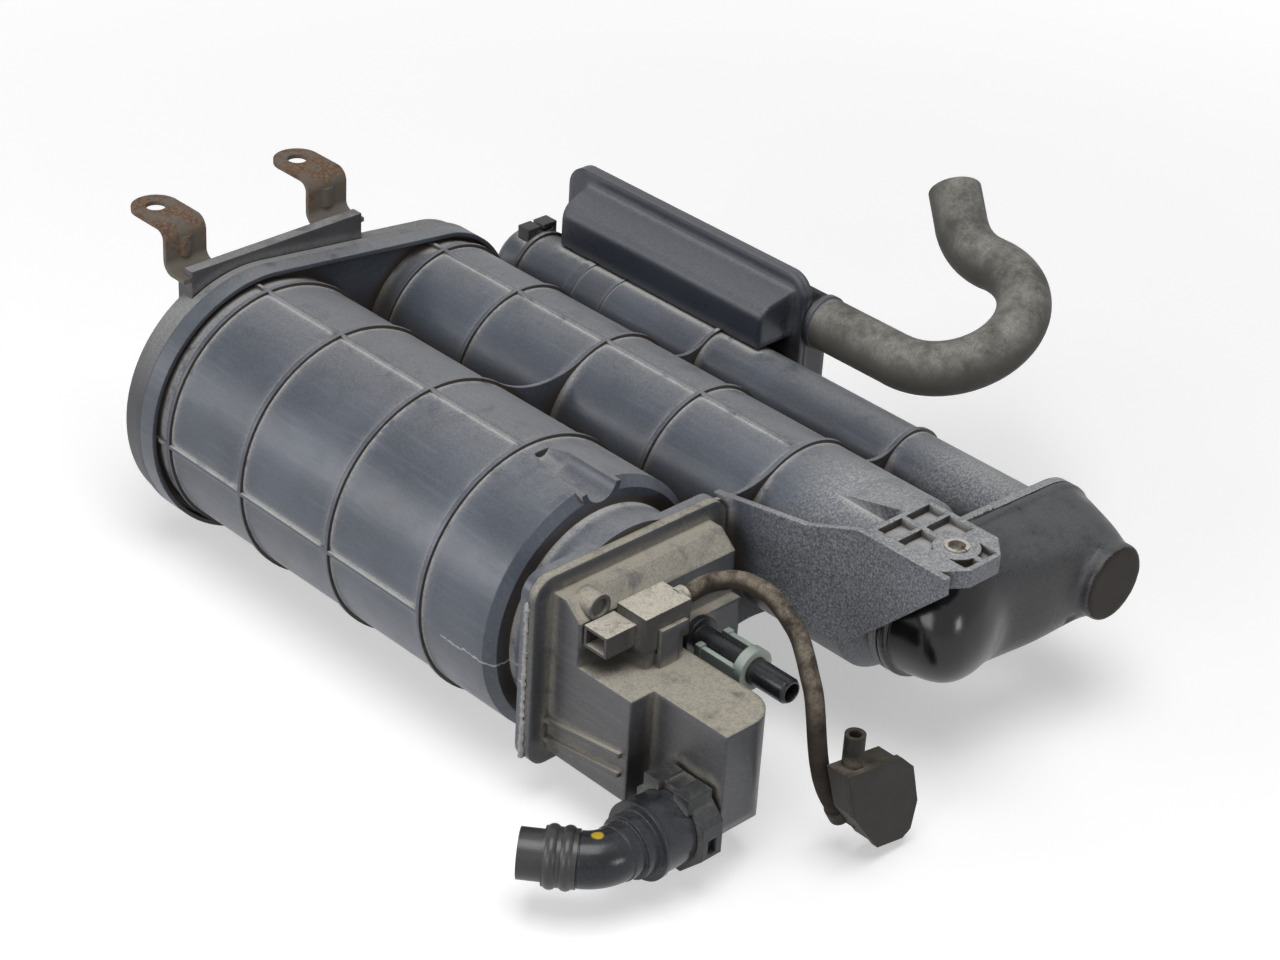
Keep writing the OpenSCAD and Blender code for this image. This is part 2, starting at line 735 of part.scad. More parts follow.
// One-piece steel bracket: base strip, two cranked legs and their tabs
module rear_bracket() color("#5c4a3c") {
    reach = tab_reach - bend_r;
    half = bracket_pitch / 2;
    for (x = [bracket_x - half, bracket_x + half])
        difference() {
            union() {
                slab_x(x - leg_w / 2, x + leg_w / 2) leg_profile(reach);
                translate([x, bracket_hole_y, tab_level - bracket_t])
                    cylinder(h = bracket_t, d = leg_w);
                translate([x, leg_y + bead_r - bead_h, strip_z + bend_r + bracket_t])
                    cylinder(h = leg_rise - 2 * (bend_r + bracket_t), r = bead_r);
            }
            translate([x, leg_y + bracket_t, strip_z]) translate([-bead_r - 1, 0, 0])
                cube([2 * bead_r + 2, 2 * bead_r, leg_rise - bend_r - bracket_t]);
            translate([x, bracket_hole_y, tab_level - 2 * bracket_t])
                cylinder(h = 3 * bracket_t, d = bracket_hole_d);
        }
    block([bracket_x - half, strip_front, strip_z],
          [bracket_x + half, strip_front + strip_l, strip_z + bracket_t]);
}

// Plan of the lower housing, drawn in by a wall
module lower_plan(inset) {
    low = lower_front + inset;
    translate([box_left + inset, right_front + inset])
        square([box_right - box_left - 2 * inset, housing_seam - right_front - inset]);
    translate([box_left + inset, low])
        square([valve_right - box_left - 2 * inset, housing_seam - low]);
    r = valve_round - inset;
    left = valve_left + inset;
    right = valve_right - inset;
    front = valve_front + inset;
    translate([left, front + r]) square([right - left, housing_seam - front - r]);
    translate([left, front]) square([right - left - r, r + 1]);
    translate([right - r, front + r]) circle(r);
}

// Side view of the upper box, drawn in by a wall
module upper_side(inset)
    polygon([
        [housing_seam, shelf_z - 1], [housing_seam, upper_top - inset],
        [upper_front + 8 + inset / 2, upper_top - inset], [upper_front + inset, upper_top - 7 - inset / 2],
        [upper_front + inset, shelf_z - 1]
    ]);

// Valve housing in front of the large chamber
module front_housing() color(housing_grey) {
    difference() {
        union() {
            slab_y(housing_seam - flange_t, housing_seam) housing_outline();
            slab_x(box_left, box_right) upper_side(0);
            translate([0, 0, lower_bottom]) linear_extrude(shelf_z - lower_bottom) lower_plan(0);
            valve_box_bottom();
            side_rails();
            bar_x(valve_left - spigot_l, valve_left + hw, port_y, port_z, spigot_d / 2);
            sensor_holder();
            bar_y([box_left + 10, upper_top - 3], upper_front - 0.5, upper_front + 9, 5.5);
        }
        slab_x(box_left + hw, box_right - hw) translate([eps, 0]) upper_side(hw);
        translate([0, 0, lower_bottom + hw]) linear_extrude(shelf_z - lower_bottom - 2 * hw)
            translate([0, eps]) lower_plan(hw);
        bar_x(valve_left - spigot_l - 1, valve_left + hw + 1, port_y, port_z, spigot_d / 2 - 2.2);
        bar_y([purge_x, purge_z], right_front - 1, right_front + hw + 1, purge_d / 2 + gap);
        translate([sensor_mid[0], sensor_mid[1], shelf_z - hw - 1])
            cylinder(h = sensor_z - shelf_z + hw + 2, r = probe_r + gap);
        translate([sensor_mid[0], sensor_mid[1], sensor_z - 3])
            cylinder(h = 4, r = probe_r + seal_w);
        bar_y([box_left + 10, upper_top - 3], upper_front - 1, upper_front + 1.5, 3.8);
        valve_bevel();
    }
}

// Bevel along the valve box's front bottom edge
module valve_bevel()
    slab_x(valve_left - 1, valve_right + 1)
        polygon([
            [valve_front - 1, valve_bottom - 1], [valve_front - 1, valve_bottom + 9.5],
            [valve_front, valve_bottom + 9.5], [valve_front + 1.4, valve_bottom + 5.2],
            [valve_front + 5, valve_bottom + 1.4], [valve_front + 9.5, valve_bottom],
            [valve_front + 9.5, valve_bottom - 1]
        ]);

module valve_box_bottom()
    translate([0, 0, valve_bottom]) linear_extrude(lower_bottom - valve_bottom + eps)
        intersection() {
            lower_plan(0);
            translate([valve_left, valve_front]) square([valve_w, valve_run - lower_run + 6]);
        }

module side_rails()
    for (z = [shelf_z - 34, shelf_z - 43])
        slab_x(box_left - 2, box_left + eps)
            polygon([
                [housing_seam, z], [housing_seam, z + 2], [lower_front + 3, z + 9], [lower_front + 3, z + 7]
            ]);

module sensor_holder() {
    low = [sensor_x[0] + 2, sensor_y[0] + 1, shelf_z - 1];
    block(low, [sensor_x[1] - 2, sensor_y[1] - 1, sensor_z]);
    latch_y = sensor_y[0] - 2.2;
    block([sensor_mid[0] - 5, latch_y, shelf_z - 1], [sensor_mid[0] + 5, sensor_y[0] - gap, sensor_z + 9]);
    block([sensor_mid[0] + 5, latch_y, sensor_z + 5], [sensor_mid[0] + 9, sensor_y[0] - gap, sensor_z + 9]);
    block([sensor_mid[0] - 5, latch_y, shelf_z - 1], [sensor_mid[0] + 5, low[1] + 1, sensor_z - 3]);
}

// A round lobe with a rounded front, standing forward of the cap's seam
module cap_lobe(c, r, l, round)
    translate([c[0], cap_seam, c[1]]) rotate([90, 0, 0]) rotate_extrude() {
        square([r, l - round]);
        square([r - round, l]);
        translate([r - round, l - round]) circle(round);
    }

// Cap that turns the flow from the middle chamber into the narrow one
module end_cap() color("#2b2b2e") {
    lobe_r = cap_mid_r - 2.5;
    cone_r = cap_narrow_r - 1.5;
    disc_r = cap_narrow_r - 11;
    cone_l = cap_reach - 5;
    difference() {
        union() {
            slab_y(cap_seam - flange_t, cap_seam) joined_circles(mid_c, cap_mid_r, narrow_c, cap_narrow_r);
            hull() {
                slab_y(cap_seam - flange_t - 3, cap_seam - 1) {
                    translate(mid_c) circle(lobe_r, $fn = 64);
                    translate(narrow_c) circle(cone_r, $fn = 64);
                }
                cap_lobe(mid_c, lobe_r - 1, 27.5, 13, $fn = 48);
                cap_lobe(narrow_c, disc_r + 4, cone_l - 1, 10, $fn = 48);
            }
            bar_y(narrow_c, disc_front, cap_seam - 1, disc_r);
            slab_x(narrow_x - 1, narrow_x + 1)
                polygon([
                    [cap_seam - 1, narrow_z + cap_narrow_r - 0.6],
                    [cap_seam - flange_t, narrow_z + cap_narrow_r - 0.6],
                    [cap_seam - 22, narrow_z + disc_r + 4],
                    [cap_seam - 1, narrow_z + disc_r]
                ]);
        }
        slab_y(cap_seam - cap_hollow, cap_seam + 1)
            joined_circles(mid_c, mid_neck_bore, narrow_c, narrow_bore);
    }
}

// Split steel bush in the mount tab
module tab_bushing() color("#b9b5ac")
    translate([tab_x, tab_y, tab_top - tab_t])
        difference() {
            cylinder(h = tab_t + 0.6, d = bush_od);
            translate([0, 0, -1]) cylinder(h = tab_t + 3, d = bush_id);
            translate([-0.4, -bush_od, -1]) cube([0.8, bush_od, tab_t + 3]);
        }

// Open clip for a cable on the narrow chamber's rear end
module wiring_clip() color(black) {
    y0 = narrow_rear - 15;
    left = narrow_x - 8;
    right = narrow_x + 9.5;
    low = narrow_z + narrow_r - 1.5;
    slab_y(y0, y0 + 7.5)
        difference() {
            translate([left, low]) square([right - left, 6.2]);
            translate([left + 3.5, low + 2.4]) square([right - left - 5.5, 1.8]);
            translate([left + 7.5, low + 2.4]) square([2, 5]);
            translate(narrow_c) circle(narrow_r + gap);
        }
}

// Outline of the filter box in Y and Z
module filter_outline(inset)
    round_box([filter_front + inset, filter_low + inset], [filter_back - inset, filter_top - inset],
              filter_round - inset / 2);

// Profile of the case over the narrow chamber, in X and Z
module case_profile(inset)
    polygon(concat(
        [[filter_x, saddle_z + inset], [case_left + inset, saddle_z + inset]],
        [for (a = [180 : -(90 - case_rise) / 6 : 89.9 + case_rise])
            case_corner + (case_round - inset) * [cos(a), sin(a)]],
        [[filter_x, case_corner[1] + (case_round - inset) / cos(case_rise)
            + (filter_x - case_corner[0]) * tan(case_rise)]]
    ));

// Slanted rear end of the case
module case_back_cut(inset)
    translate([0, 0, saddle_z - 1]) linear_extrude(filter_top)
        polygon([
            [case_left - 1, case_back - inset], [plate_x, case_back + case_slant - inset],
            [filter_x + 1, case_back + case_slant - inset], [filter_x + 1, filter_back + 9],
            [case_left - 1, filter_back + 9]
        ]);

// Inner half of the filter box
module filter_case() color("#30343d")
    difference() {
        union() {
            slab_x(plate_x, filter_x) filter_outline(0);
            difference() {
                slab_y(filter_front + case_inset, case_back + case_slant) case_profile(0);
                case_back_cut(0);
            }
        }
        difference() {
            slab_y(filter_front + case_inset + filter_wall, case_back + case_slant)
                translate([eps, 0]) case_profile(filter_wall);
            case_back_cut(filter_wall * 1.2);
        }
        bar_x(plate_x - 1, filter_x + 1, link_y, narrow_z, link_r + gap);
    }

// Profile of the cover, falling away from its flange, in X and Z
module cover_profile(inset) {
    face = filter_x + filter_d - inset;
    back = inset > 0 ? filter_x - (inset > filter_wall ? 0 : 1) : filter_x;
    polygon([
        [back, filter_low + 4 + inset], [back, filter_top - 4 - inset],
        [filter_x + 2, filter_top - 4 - inset], [face, filter_top - 15 - inset],
        [face, filter_low + 8 + inset], [face - 4, filter_low + 4 + inset]
    ]);
}

// Outer half of the filter box, with the spout for the drain hose
module filter_cover() color("#2d3038")
    difference() {
        union() {
            slab_x(filter_x, filter_x + case_t) filter_outline(0);
            slab_y(filter_front + case_t, filter_back - case_t) cover_profile(0);
            bar_y([drain_x, drain_z], filter_front - spout_l, filter_front + case_t + 1, spout_r);
            bar_y([drain_x, drain_z], drain_start + gap, filter_front - 1, drain_od / 2 + 0.8);
        }
        slab_y(filter_front + case_t + filter_wall, filter_back - case_t - filter_wall)
            cover_profile(filter_wall);
        bar_y([drain_x, drain_z], filter_front - spout_l - 1, filter_front + 8, spout_r - 2);
    }

// Foam element that fills the filter box's cover
module filter_foam() color("#6b6a60")
    slab_y(filter_front + case_t + filter_wall + slack, filter_back - case_t - filter_wall - slack)
        translate([slack, 0]) cover_profile(filter_wall + 2 * slack);

// Puts a child at a point, with its X and Y along two given directions
module set_along(p, x, y) {
    z = cross(x, y);
    multmatrix([
        [x[0], y[0], z[0], p[0]], [x[1], y[1], z[1], p[1]], [x[2], y[2], z[2], p[2]], [0, 0, 0, 1]
    ]) children();
}

// Run of the drain hose at one radius, a little wider in its turn and its rise
module drain_run(r, over) {
    slab_y(turn_y - 1, drain_start + over) translate([drain_x, drain_z]) circle(r);
    set_along(turn_from + drain_turn_r * turn_side, -turn_side, turn_in)
        rotate_extrude(angle = drain_turn + 1.5) translate([drain_turn_r, 0]) circle(r + drain_swell);
    set_along(rise_from + drain_rise_r * rise_side, -rise_side, turn_out)
        rotate_extrude(angle = drain_rise) translate([drain_rise_r, 0]) circle(r + 2 * drain_swell);
    set_along(rise_end - rise_out, rise_axis, cross(rise_out, rise_axis))
        linear_extrude(drain_end + 1 + over) circle(r + drain_swell);
}

// Moulded rubber hose: out of the spout, round a tilted turn and up
module drain_hose() color("#5d5b57")
    difference() {
        drain_run(drain_od / 2, 0);
        drain_run(drain_id / 2, 1);
    }

// Pressure sensor with its plug socket and hose outlet
module sensor_body() color(black) {
    rim = 1.4;
    difference() {
        union() {
            block([sensor_x[0], sensor_y[0], sensor_z], [sensor_x[1], sensor_y[1], sensor_z + sensor_h]);
            block([sensor_x[0] - plug_l, plug_y, plug_z],
                  [sensor_x[0] + eps, plug_y + plug_w, plug_z + plug_h]);
            bar_x(sensor_x[1] - 1, outlet_end, outlet_y, outlet_z, outlet_r);
            translate([sensor_mid[0], sensor_mid[1], shelf_z - 1]) cylinder(h = 9, r = probe_r);
        }
        block([sensor_x[0] - plug_l - 1, plug_y + rim, plug_z + rim],
              [sensor_x[0] - 3, plug_y + plug_w - rim, plug_z + plug_h - rim]);
        translate([sensor_mid[0], sensor_mid[1], shelf_z - 2]) cylinder(h = 8, r = probe_r / 2);
    }
}

// Three flat terminals in the plug socket
module sensor_terminals() color("#c8b26a")
    for (k = [-1 : 1])
        translate([sensor_x[0] - plug_l + 5, plug_y + plug_w / 2 + 3 * k - 0.5, plug_z + plug_h / 2 - 0.4])
            cube([plug_l - 8, 1, 0.8]);

// Ring seal round the sensor's probe
module sensor_seal() color(black)
    translate([sensor_mid[0], sensor_mid[1], sensor_z - 3 + seal_w / 2])
        rotate_extrude() translate([probe_r + seal_w / 2, 0]) circle(seal_w / 2 - 0.04, $fn = 32);

// Free rubber hose from the sensor to the breather
module sensor_hose() color("#5a5046")
    swept_tube(sensor_hose_route, sensor_hose_d / 2, [0.7, 0.7, 0.2], 12);

// Face outline of the breather, drawn in towards its middle
module breather_face(inset)
    polygon([
        for (p = breather_corners) p + inset * (breather_mid - p) / norm(breather_mid - p)
    ]);

module breather_frame()
    translate(breather_at) children();

// Vented box on the end of the sensor hose
module breather_body() color(black) {
    lid = 3;
    skin = 2.4;
    hose_end = sensor_hose_route[len(sensor_hose_route) - 1];
    hose_dir = heading(sensor_hose_route, len(sensor_hose_route) - 1);
    lean = atan2(hose_dir[0], -hose_dir[2]);
    breather_frame() {
        difference() {
            union() {
                slab_y(lid, breather_d) breather_face(1);
                translate([10.3, breather_d / 2 + 1.5, -6]) cylinder(h = 18, r = 4.2);
            }
            slab_y(lid - 1, breather_d - skin) breather_face(1 + skin);
            translate([10.3, breather_d / 2 + 1.5, -5]) cylinder(h = 18, r = 2.6);
        }
    }
    translate(hose_end) rotate([0, 180 - lean, 0]) cylinder(h = nipple_l, r = nipple_r);
    translate(hose_end + nipple_l * hose_dir)
        rotate([90, 0, 0]) cylinder(h = breather_at[1] + breather_d - hose_end[1] + 14, r = 1);
}

// Lid on the breather's face
module breather_cover() color(black)
    breather_frame() slab_y(0, 3) breather_face(0);

// Foam inside the breather
module breather_foam() color("#6b6a60")
    breather_frame() slab_y(3.1, breather_d - 2.7) breather_face(4);

// Purge stub on the housing's right front wall
module purge_pipe() color(black)
    difference() {
        union() {
            bar_y([purge_x, purge_z], purge_mouth + 1.5, retainer_front - retainer_w, purge_d / 2);
            bar_y([purge_x, purge_z], retainer_front - retainer_w, right_front + hw, purge_d / 2 - 0.1);
            bar_y([purge_x, purge_z], purge_mouth, purge_mouth + 1.5, purge_d / 2 - 1, purge_d / 2);
            bar_y([purge_x, purge_z], collar_y - 1, collar_y + 1, purge_d / 2 + 1.2);
            bar_y([purge_x, purge_z], right_front - 3, right_front, purge_d / 2 + 3);
        }
        bar_y([purge_x, purge_z], purge_mouth - 1, right_front + hw + 1, purge_bore);
    }

// Pale retainer ring left on the purge stub, with its two arms
module purge_retainer() color("#b9cdbf") {
    inner = purge_d / 2 + gap;
    outer = purge_d / 2 + 3.4;
    front = retainer_front;
    slab_y(front - retainer_w, front)
        translate([purge_x, purge_z])
            difference() {
                circle(outer);
                circle(inner);
            }
    for (side = [-1, 1])
        difference() {
            translate([purge_x + side * (outer - 1.2), 0, purge_z])
                block([-1.2, front - 1, -3], [1.2, front + 17, 3]);
            bar_y([purge_x, purge_z], front - 1, front + 4, purge_d / 2 + 1.2 + gap);
        }
    for (side = [-1, 1])
        block([purge_x + side * (outer - 1.2) - 1.8, front + 17, purge_z - 3.6],
              [purge_x + side * (outer - 1.2) + 1.8, front + 20, purge_z + 3.6]);
}

// The elbow's bent pipe, solid, of a given radius
module elbow_path(r, r_stem, start, run) {
    bar_x(elbow_x - 0.5, start, port_y, port_z, r + 0.4);
    translate([elbow_x, port_y + elbow_turn_r, port_z]) rotate([0, 0, -90 - elbow_turn])
        rotate_extrude(angle = elbow_turn) translate([elbow_turn_r, 0]) circle(r);
    elbow_outlet() rotate([0, -90, 0]) translate([0, 0, -2]) cylinder(h = run + 2, r = r_stem);
}

// Places a child where the elbow's bend ends, with its -X along the outlet
module elbow_outlet()
    translate([elbow_x - elbow_turn_r * sin(elbow_turn),
               port_y + elbow_turn_r * (1 - cos(elbow_turn)), port_z])
        rotate([0, 0, -elbow_turn]) children();

// Quick connector elbow on the valve box's spigot
module elbow_connector() color(black) {
    nose = valve_left - lock_gap;
    body_start = nose - lock_l - 0.5;
    difference() {
        union() {
            bar_x(body_start, nose, port_y, port_z, nose_r);
            bar_x(socket_end, body_start, port_y, port_z, socket_d / 2);
            bar_x(socket_end - 2, socket_end, port_y, port_z, socket_d / 2 + 0.8);
            bar_x(socket_end - elbow_neck_l, socket_end, port_y, port_z, elbow_r + 2);
            elbow_path(elbow_r, stem_r, socket_end, stem_l - 2);
        }
        bar_x(valve_left - spigot_l - 0.5, nose + 1, port_y, port_z, socket_bore);
        bar_x(seal_x(1) - seal_w / 2 - gap, seal_x(0) + seal_w / 2 + gap, port_y, port_z, seal_groove_r);
        elbow_path(elbow_bore, elbow_bore - 2, valve_left - spigot_l, stem_l);
    }
}

// Place along X of each ring seal inside the elbow
function seal_x(k) = valve_left - spigot_l + 8 - 4 * k;

// Lock collar with its key tabs, on the elbow's nose
module connector_lock() color("#26272a") {
    nose = valve_left - lock_gap;
    flats = lock_w / cos(22.5);
    difference() {
        union() {
            translate([nose - lock_l, port_y, port_z]) rotate([0, 90, 0]) rotate([0, 0, 22.5])
                cylinder(h = lock_l, d = flats, $fn = 8);
            for (y = [port_y - 12, port_y + 4])
                block([nose - lock_l - 3, y, port_z + lock_w / 2 - 6],
                      [nose - 1, y + 8, port_z + lock_w / 2 + 1.2]);
        }
        bar_x(nose - lock_l - 6, nose + 1, port_y, port_z, nose_r + gap);
        bar_x(nose - lock_l - 6, nose - lock_l, port_y, port_z, socket_d / 2 + gap);
        block([nose - lock_l + 3, port_y - lock_w / 2 - 1, port_z - 6],
              [nose - 3, port_y - nose_r - 2, port_z + 1]);
    }
}

// Two ring seals between spigot and elbow
module connector_seals() color("#151515")
    for (k = [0, 1])
        translate([seal_x(k), port_y, port_z]) rotate([0, 90, 0])
            rotate_extrude() translate([(spigot_d / 2 + seal_groove_r) / 2, 0])
                circle((seal_groove_r - spigot_d / 2) / 2 - 0.04, $fn = 32);

// Cut hose on the elbow, with its two bulges over the barbs
module elbow_hose() color("#33332f")
    elbow_outlet() rotate([0, -90, 0])
        difference() {
            union() {
                cylinder(h = stem_l, d = elbow_hose_d);
                for (z = [4.5, 10.5])
                    translate([0, 0, z]) rotate_extrude()
                        translate([sleeve_r - 3, 0]) circle(3, $fn = 32);
                translate([0, 0, 0.5]) cylinder(h = 13, r = sleeve_r - 1);
            }
            translate([0, 0, -1]) cylinder(h = stem_l + 2, r = stem_r + gap);
        }

// A packed disc or bed that fills a chamber between two stations
module packing(c, r, y0, y1)
    bar_y(c, y0, y1, r - slack);

module large_carbon() color("#1b1b1b")
    difference() {
        packing(large_c, large_bore, large_floor + fleece_t, large_back - plate_t - fleece_t);
        groove_form(wall + slack);
    }

module large_front_fleece() color("#d8d5c8")
    difference() {
        packing(large_c, large_bore, large_floor, large_floor + fleece_t);
        groove_form(wall + slack);
    }

module large_rear_fleece() color("#d8d5c8")
    packing(large_c, large_bore, large_back - plate_t - fleece_t, large_back - plate_t);

module mid_carbon() color("#1b1b1b")
    packing(mid_c, mid_bore, mid_floor + fleece_t, large_back - plate_t - fleece_t);

module mid_front_fleece() color("#d8d5c8")
    packing(mid_c, mid_bore, mid_floor, mid_floor + fleece_t);

module mid_rear_fleece() color("#d8d5c8")
    packing(mid_c, mid_bore, large_back - plate_t - fleece_t, large_back - plate_t);

module narrow_carbon() color("#1b1b1b")
    packing(narrow_c, narrow_bore, narrow_plate_y + plate_t + fleece_t, narrow_end - fleece_t);

module narrow_rear_fleece() color("#d8d5c8")
    packing(narrow_c, narrow_bore, narrow_end - fleece_t, narrow_end);

module narrow_front_fleece() color("#d8d5c8")
    packing(narrow_c, narrow_bore, narrow_plate_y + plate_t, narrow_plate_y + plate_t + fleece_t);

// A slotted pressure plate across a chamber
module pressure_plate(c, r, y0)
    difference() {
        bar_y(c, y0, y0 + plate_t, r - slack);
        grid_slots(c, y0 - 1, y0 + plate_t + 1, r - 8);
    }

module large_plate() color("#8d8f90")
    pressure_plate(large_c, large_bore, large_back - plate_t);

module mid_plate() color("#8d8f90")
    pressure_plate(mid_c, mid_bore, large_back - plate_t);

module narrow_plate() color("#8d8f90")
    pressure_plate(narrow_c, narrow_bore, narrow_plate_y);

module large_spring() color("#a8a8a4")
    coil(large_c, large_back, large_back + spring_room, 0.37 * large_bore, 4);

module mid_spring() color("#a8a8a4")
    coil(mid_c, large_back, large_back + spring_room, 0.4 * mid_bore, 4);

module narrow_spring() color("#a8a8a4")
    coil(narrow_c, cap_seam - cap_hollow, narrow_plate_y, 0.57 * narrow_bore, 5);

module placed() translate(frame_shift) children();

placed() body_shell();
placed() rear_cover();
placed() rear_bracket();
placed() front_housing();
placed() end_cap();
placed() tab_bushing();
placed() wiring_clip();
placed() filter_case();
placed() filter_cover();
placed() filter_foam();
placed() drain_hose();
placed() sensor_body();
placed() sensor_terminals();
placed() sensor_seal();
placed() sensor_hose();
placed() breather_body();
placed() breather_cover();
placed() breather_foam();
placed() purge_pipe();
placed() purge_retainer();
placed() elbow_connector();
placed() connector_lock();
placed() connector_seals();
placed() elbow_hose();
placed() large_carbon();
placed() mid_carbon();
placed() narrow_carbon();
placed() large_front_fleece();
placed() large_rear_fleece();
placed() mid_front_fleece();
placed() mid_rear_fleece();
placed() narrow_front_fleece();
placed() narrow_rear_fleece();
placed() large_plate();
placed() mid_plate();
placed() narrow_plate();
placed() large_spring();
placed() mid_spring();
placed() narrow_spring();
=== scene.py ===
"""Charcoal canister: finishes, free hose, front cap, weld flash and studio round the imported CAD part."""

import logging
import math
import random
from dataclasses import dataclass
from enum import Enum
from typing import Any, ClassVar, Optional

import bmesh
import bpy
from mathutils import Matrix, Vector


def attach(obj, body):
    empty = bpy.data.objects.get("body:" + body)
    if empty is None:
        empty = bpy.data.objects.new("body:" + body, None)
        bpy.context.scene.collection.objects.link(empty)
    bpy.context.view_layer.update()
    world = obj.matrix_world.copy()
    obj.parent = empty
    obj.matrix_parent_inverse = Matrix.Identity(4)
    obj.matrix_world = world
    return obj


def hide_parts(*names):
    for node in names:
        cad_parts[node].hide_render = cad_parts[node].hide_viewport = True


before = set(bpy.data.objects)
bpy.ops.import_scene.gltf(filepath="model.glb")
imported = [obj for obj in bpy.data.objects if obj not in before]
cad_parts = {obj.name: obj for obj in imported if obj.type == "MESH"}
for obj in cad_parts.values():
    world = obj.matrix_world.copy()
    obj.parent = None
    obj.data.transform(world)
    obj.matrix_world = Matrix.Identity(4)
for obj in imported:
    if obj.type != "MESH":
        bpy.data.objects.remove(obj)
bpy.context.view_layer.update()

LOG = logging.getLogger("canister")
MM = 0.001
# Origin of the source's own measures, the large chamber's axis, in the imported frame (mm).
ORIGIN = Vector((-90.686, 28.375, 61.5))
# Setting that lets a range node ease in and out.
SOFT = {"interpolation_type": "SMOOTHSTEP"}

Point = tuple[float, float, float]
Pair = tuple[float, float]
# Where an effect starts and where it is full, and then its two results if they aren't 0 and 1.
Range = tuple[float, ...]
Socket = bpy.types.NodeSocket
Tree = bpy.types.NodeTree


def at(x: float, y: float, z: float) -> Vector:
    """Turns a place in the source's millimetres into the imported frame's metres."""
    return (Vector((x, y, z)) + ORIGIN) * MM


def measured(point: Vector) -> Vector:
    """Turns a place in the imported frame's metres into the source's millimetres."""
    return point / MM - ORIGIN


def along(point: Vector) -> float:
    """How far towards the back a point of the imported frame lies, in the source's millimetres."""
    return point.y / MM - ORIGIN.y


def per_mm(size: float) -> float:
    """Texture scale at which one cell of a pattern measures size millimetres."""
    return 1.0 / (size * MM)


def span(start: float, full: float, low: float = 0.0, high: float = 1.0) -> dict[int, float]:
    """Inputs with which a range node turns start to full into low to high."""
    return {1: start, 2: full, 3: low, 4: high}


def linear(code: str) -> tuple[float, float, float, float]:
    """Turns an sRGB hex value into linear RGBA.

    Args:
        code: Colour as "#rrggbb".
    Returns:
        Linear red, green, blue and an alpha of 1.
    """
    parts = [int(code[i:i + 2], 16) / 255 for i in (1, 3, 5)]
    r, g, b = (c / 12.92 if c <= 0.04045 else ((c + 0.055) / 1.055) ** 2.4 for c in parts)
    return r, g, b, 1.0


def add(tree: Tree, kind: str, inputs: Optional[dict[Any, Any]] = None,
        **settings: Any) -> bpy.types.Node:
    """Adds a shader node with its settings, values and links.

    Args:
        tree: Tree that takes the node.
        kind: Blender's type name without its ShaderNode prefix.
        inputs: A value or an output socket for each input, by name or index.
        settings: Properties of the node itself.
    Returns:
        The new node.
    """
    node = tree.nodes.new("ShaderNode" + kind)
    for name, value in settings.items():
        setattr(node, name, value)
    for key, value in (inputs or {}).items():
        if isinstance(value, Socket):
            tree.links.new(value, node.inputs[key])
        else:
            node.inputs[key].default_value = value
    return node


class Axis(Enum):
    """A direction of the part's frame that dust can follow."""

    ACROSS = "X"
    ALONG = "Y"


class Soil(Enum):
    """How much dust, and grime with painted shade, a finish carries."""

    CLEAN = (0.0, 0.04, 0.06, 0.3, 0.34)
    LIGHT = (0.02, 0.1, 0.3, 0.6, 0.34)
    FILMED = (0.04, 0.3, 0.3, 0.6, 0.1)
    WORN = (0.03, 0.3, 0.85, 0.9, 0.2)
    DUSTY = (0.14, 0.4, 0.5, 0.75, 0.26)
    TOPPED = (0.03, 0.9, 0.12, 0.5, 0.16)
    CAKED = (0.03, 0.85, 0.4, 0.8, 0.2)

    def __init__(self, film: float, on_top: float, in_corner: float, valley_dirt_and_shade: float,
                 bald: float) -> None:
        """Keeps the shares of one kind of soil.

        Args:
            film: Share of an even film.
            on_top: Share on faces that dust settles on.
            in_corner: Share along ribs and in corners.
            valley_dirt_and_shade: Share of dark grime and painted shade in deep places.
            bald: Level of the patch pattern under which a face stays bare.
        """
        self.film = film
        self.on_top = on_top
        self.in_corner = in_corner
        self.valley_dirt_and_shade = valley_dirt_and_shade
        self.bald = bald


@dataclass(frozen=True)
class Finish:
    """What every finish shares: a name, a colour and how the surface scatters light."""

    name: str
    colour: str
    roughness: float = 0.5
    ior: float = 1.5
    gloss: float = 0.5

    def blank(self) -> tuple[bpy.types.Material, Tree, bpy.types.Node]:
        """Makes a node material with a surface shader alone.

        Returns:
            The material, its tree and its surface shader with the even numbers set.
        """
        material = bpy.data.materials.new(self.name)
        material.use_nodes = True
        tree = material.node_tree
        tree.nodes.clear()
        shader = add(tree, "BsdfPrincipled", {
            "IOR": self.ior, "Roughness": self.roughness, "Specular IOR Level": self.gloss,
            "Base Color": linear(self.colour)})
        add(tree, "OutputMaterial", {"Surface": shader.outputs[0]})
        material.diffuse_color = linear(self.colour)
        return material, tree, shader


@dataclass(frozen=True)
class Patterns:
    """Outputs of the nodes that a soiled finish is mixed from."""

    place: Socket
    normal: Socket
    broad: Socket
    patch: Socket
    speck: Socket
    cover: Socket
    corner: Socket
    valley: Socket


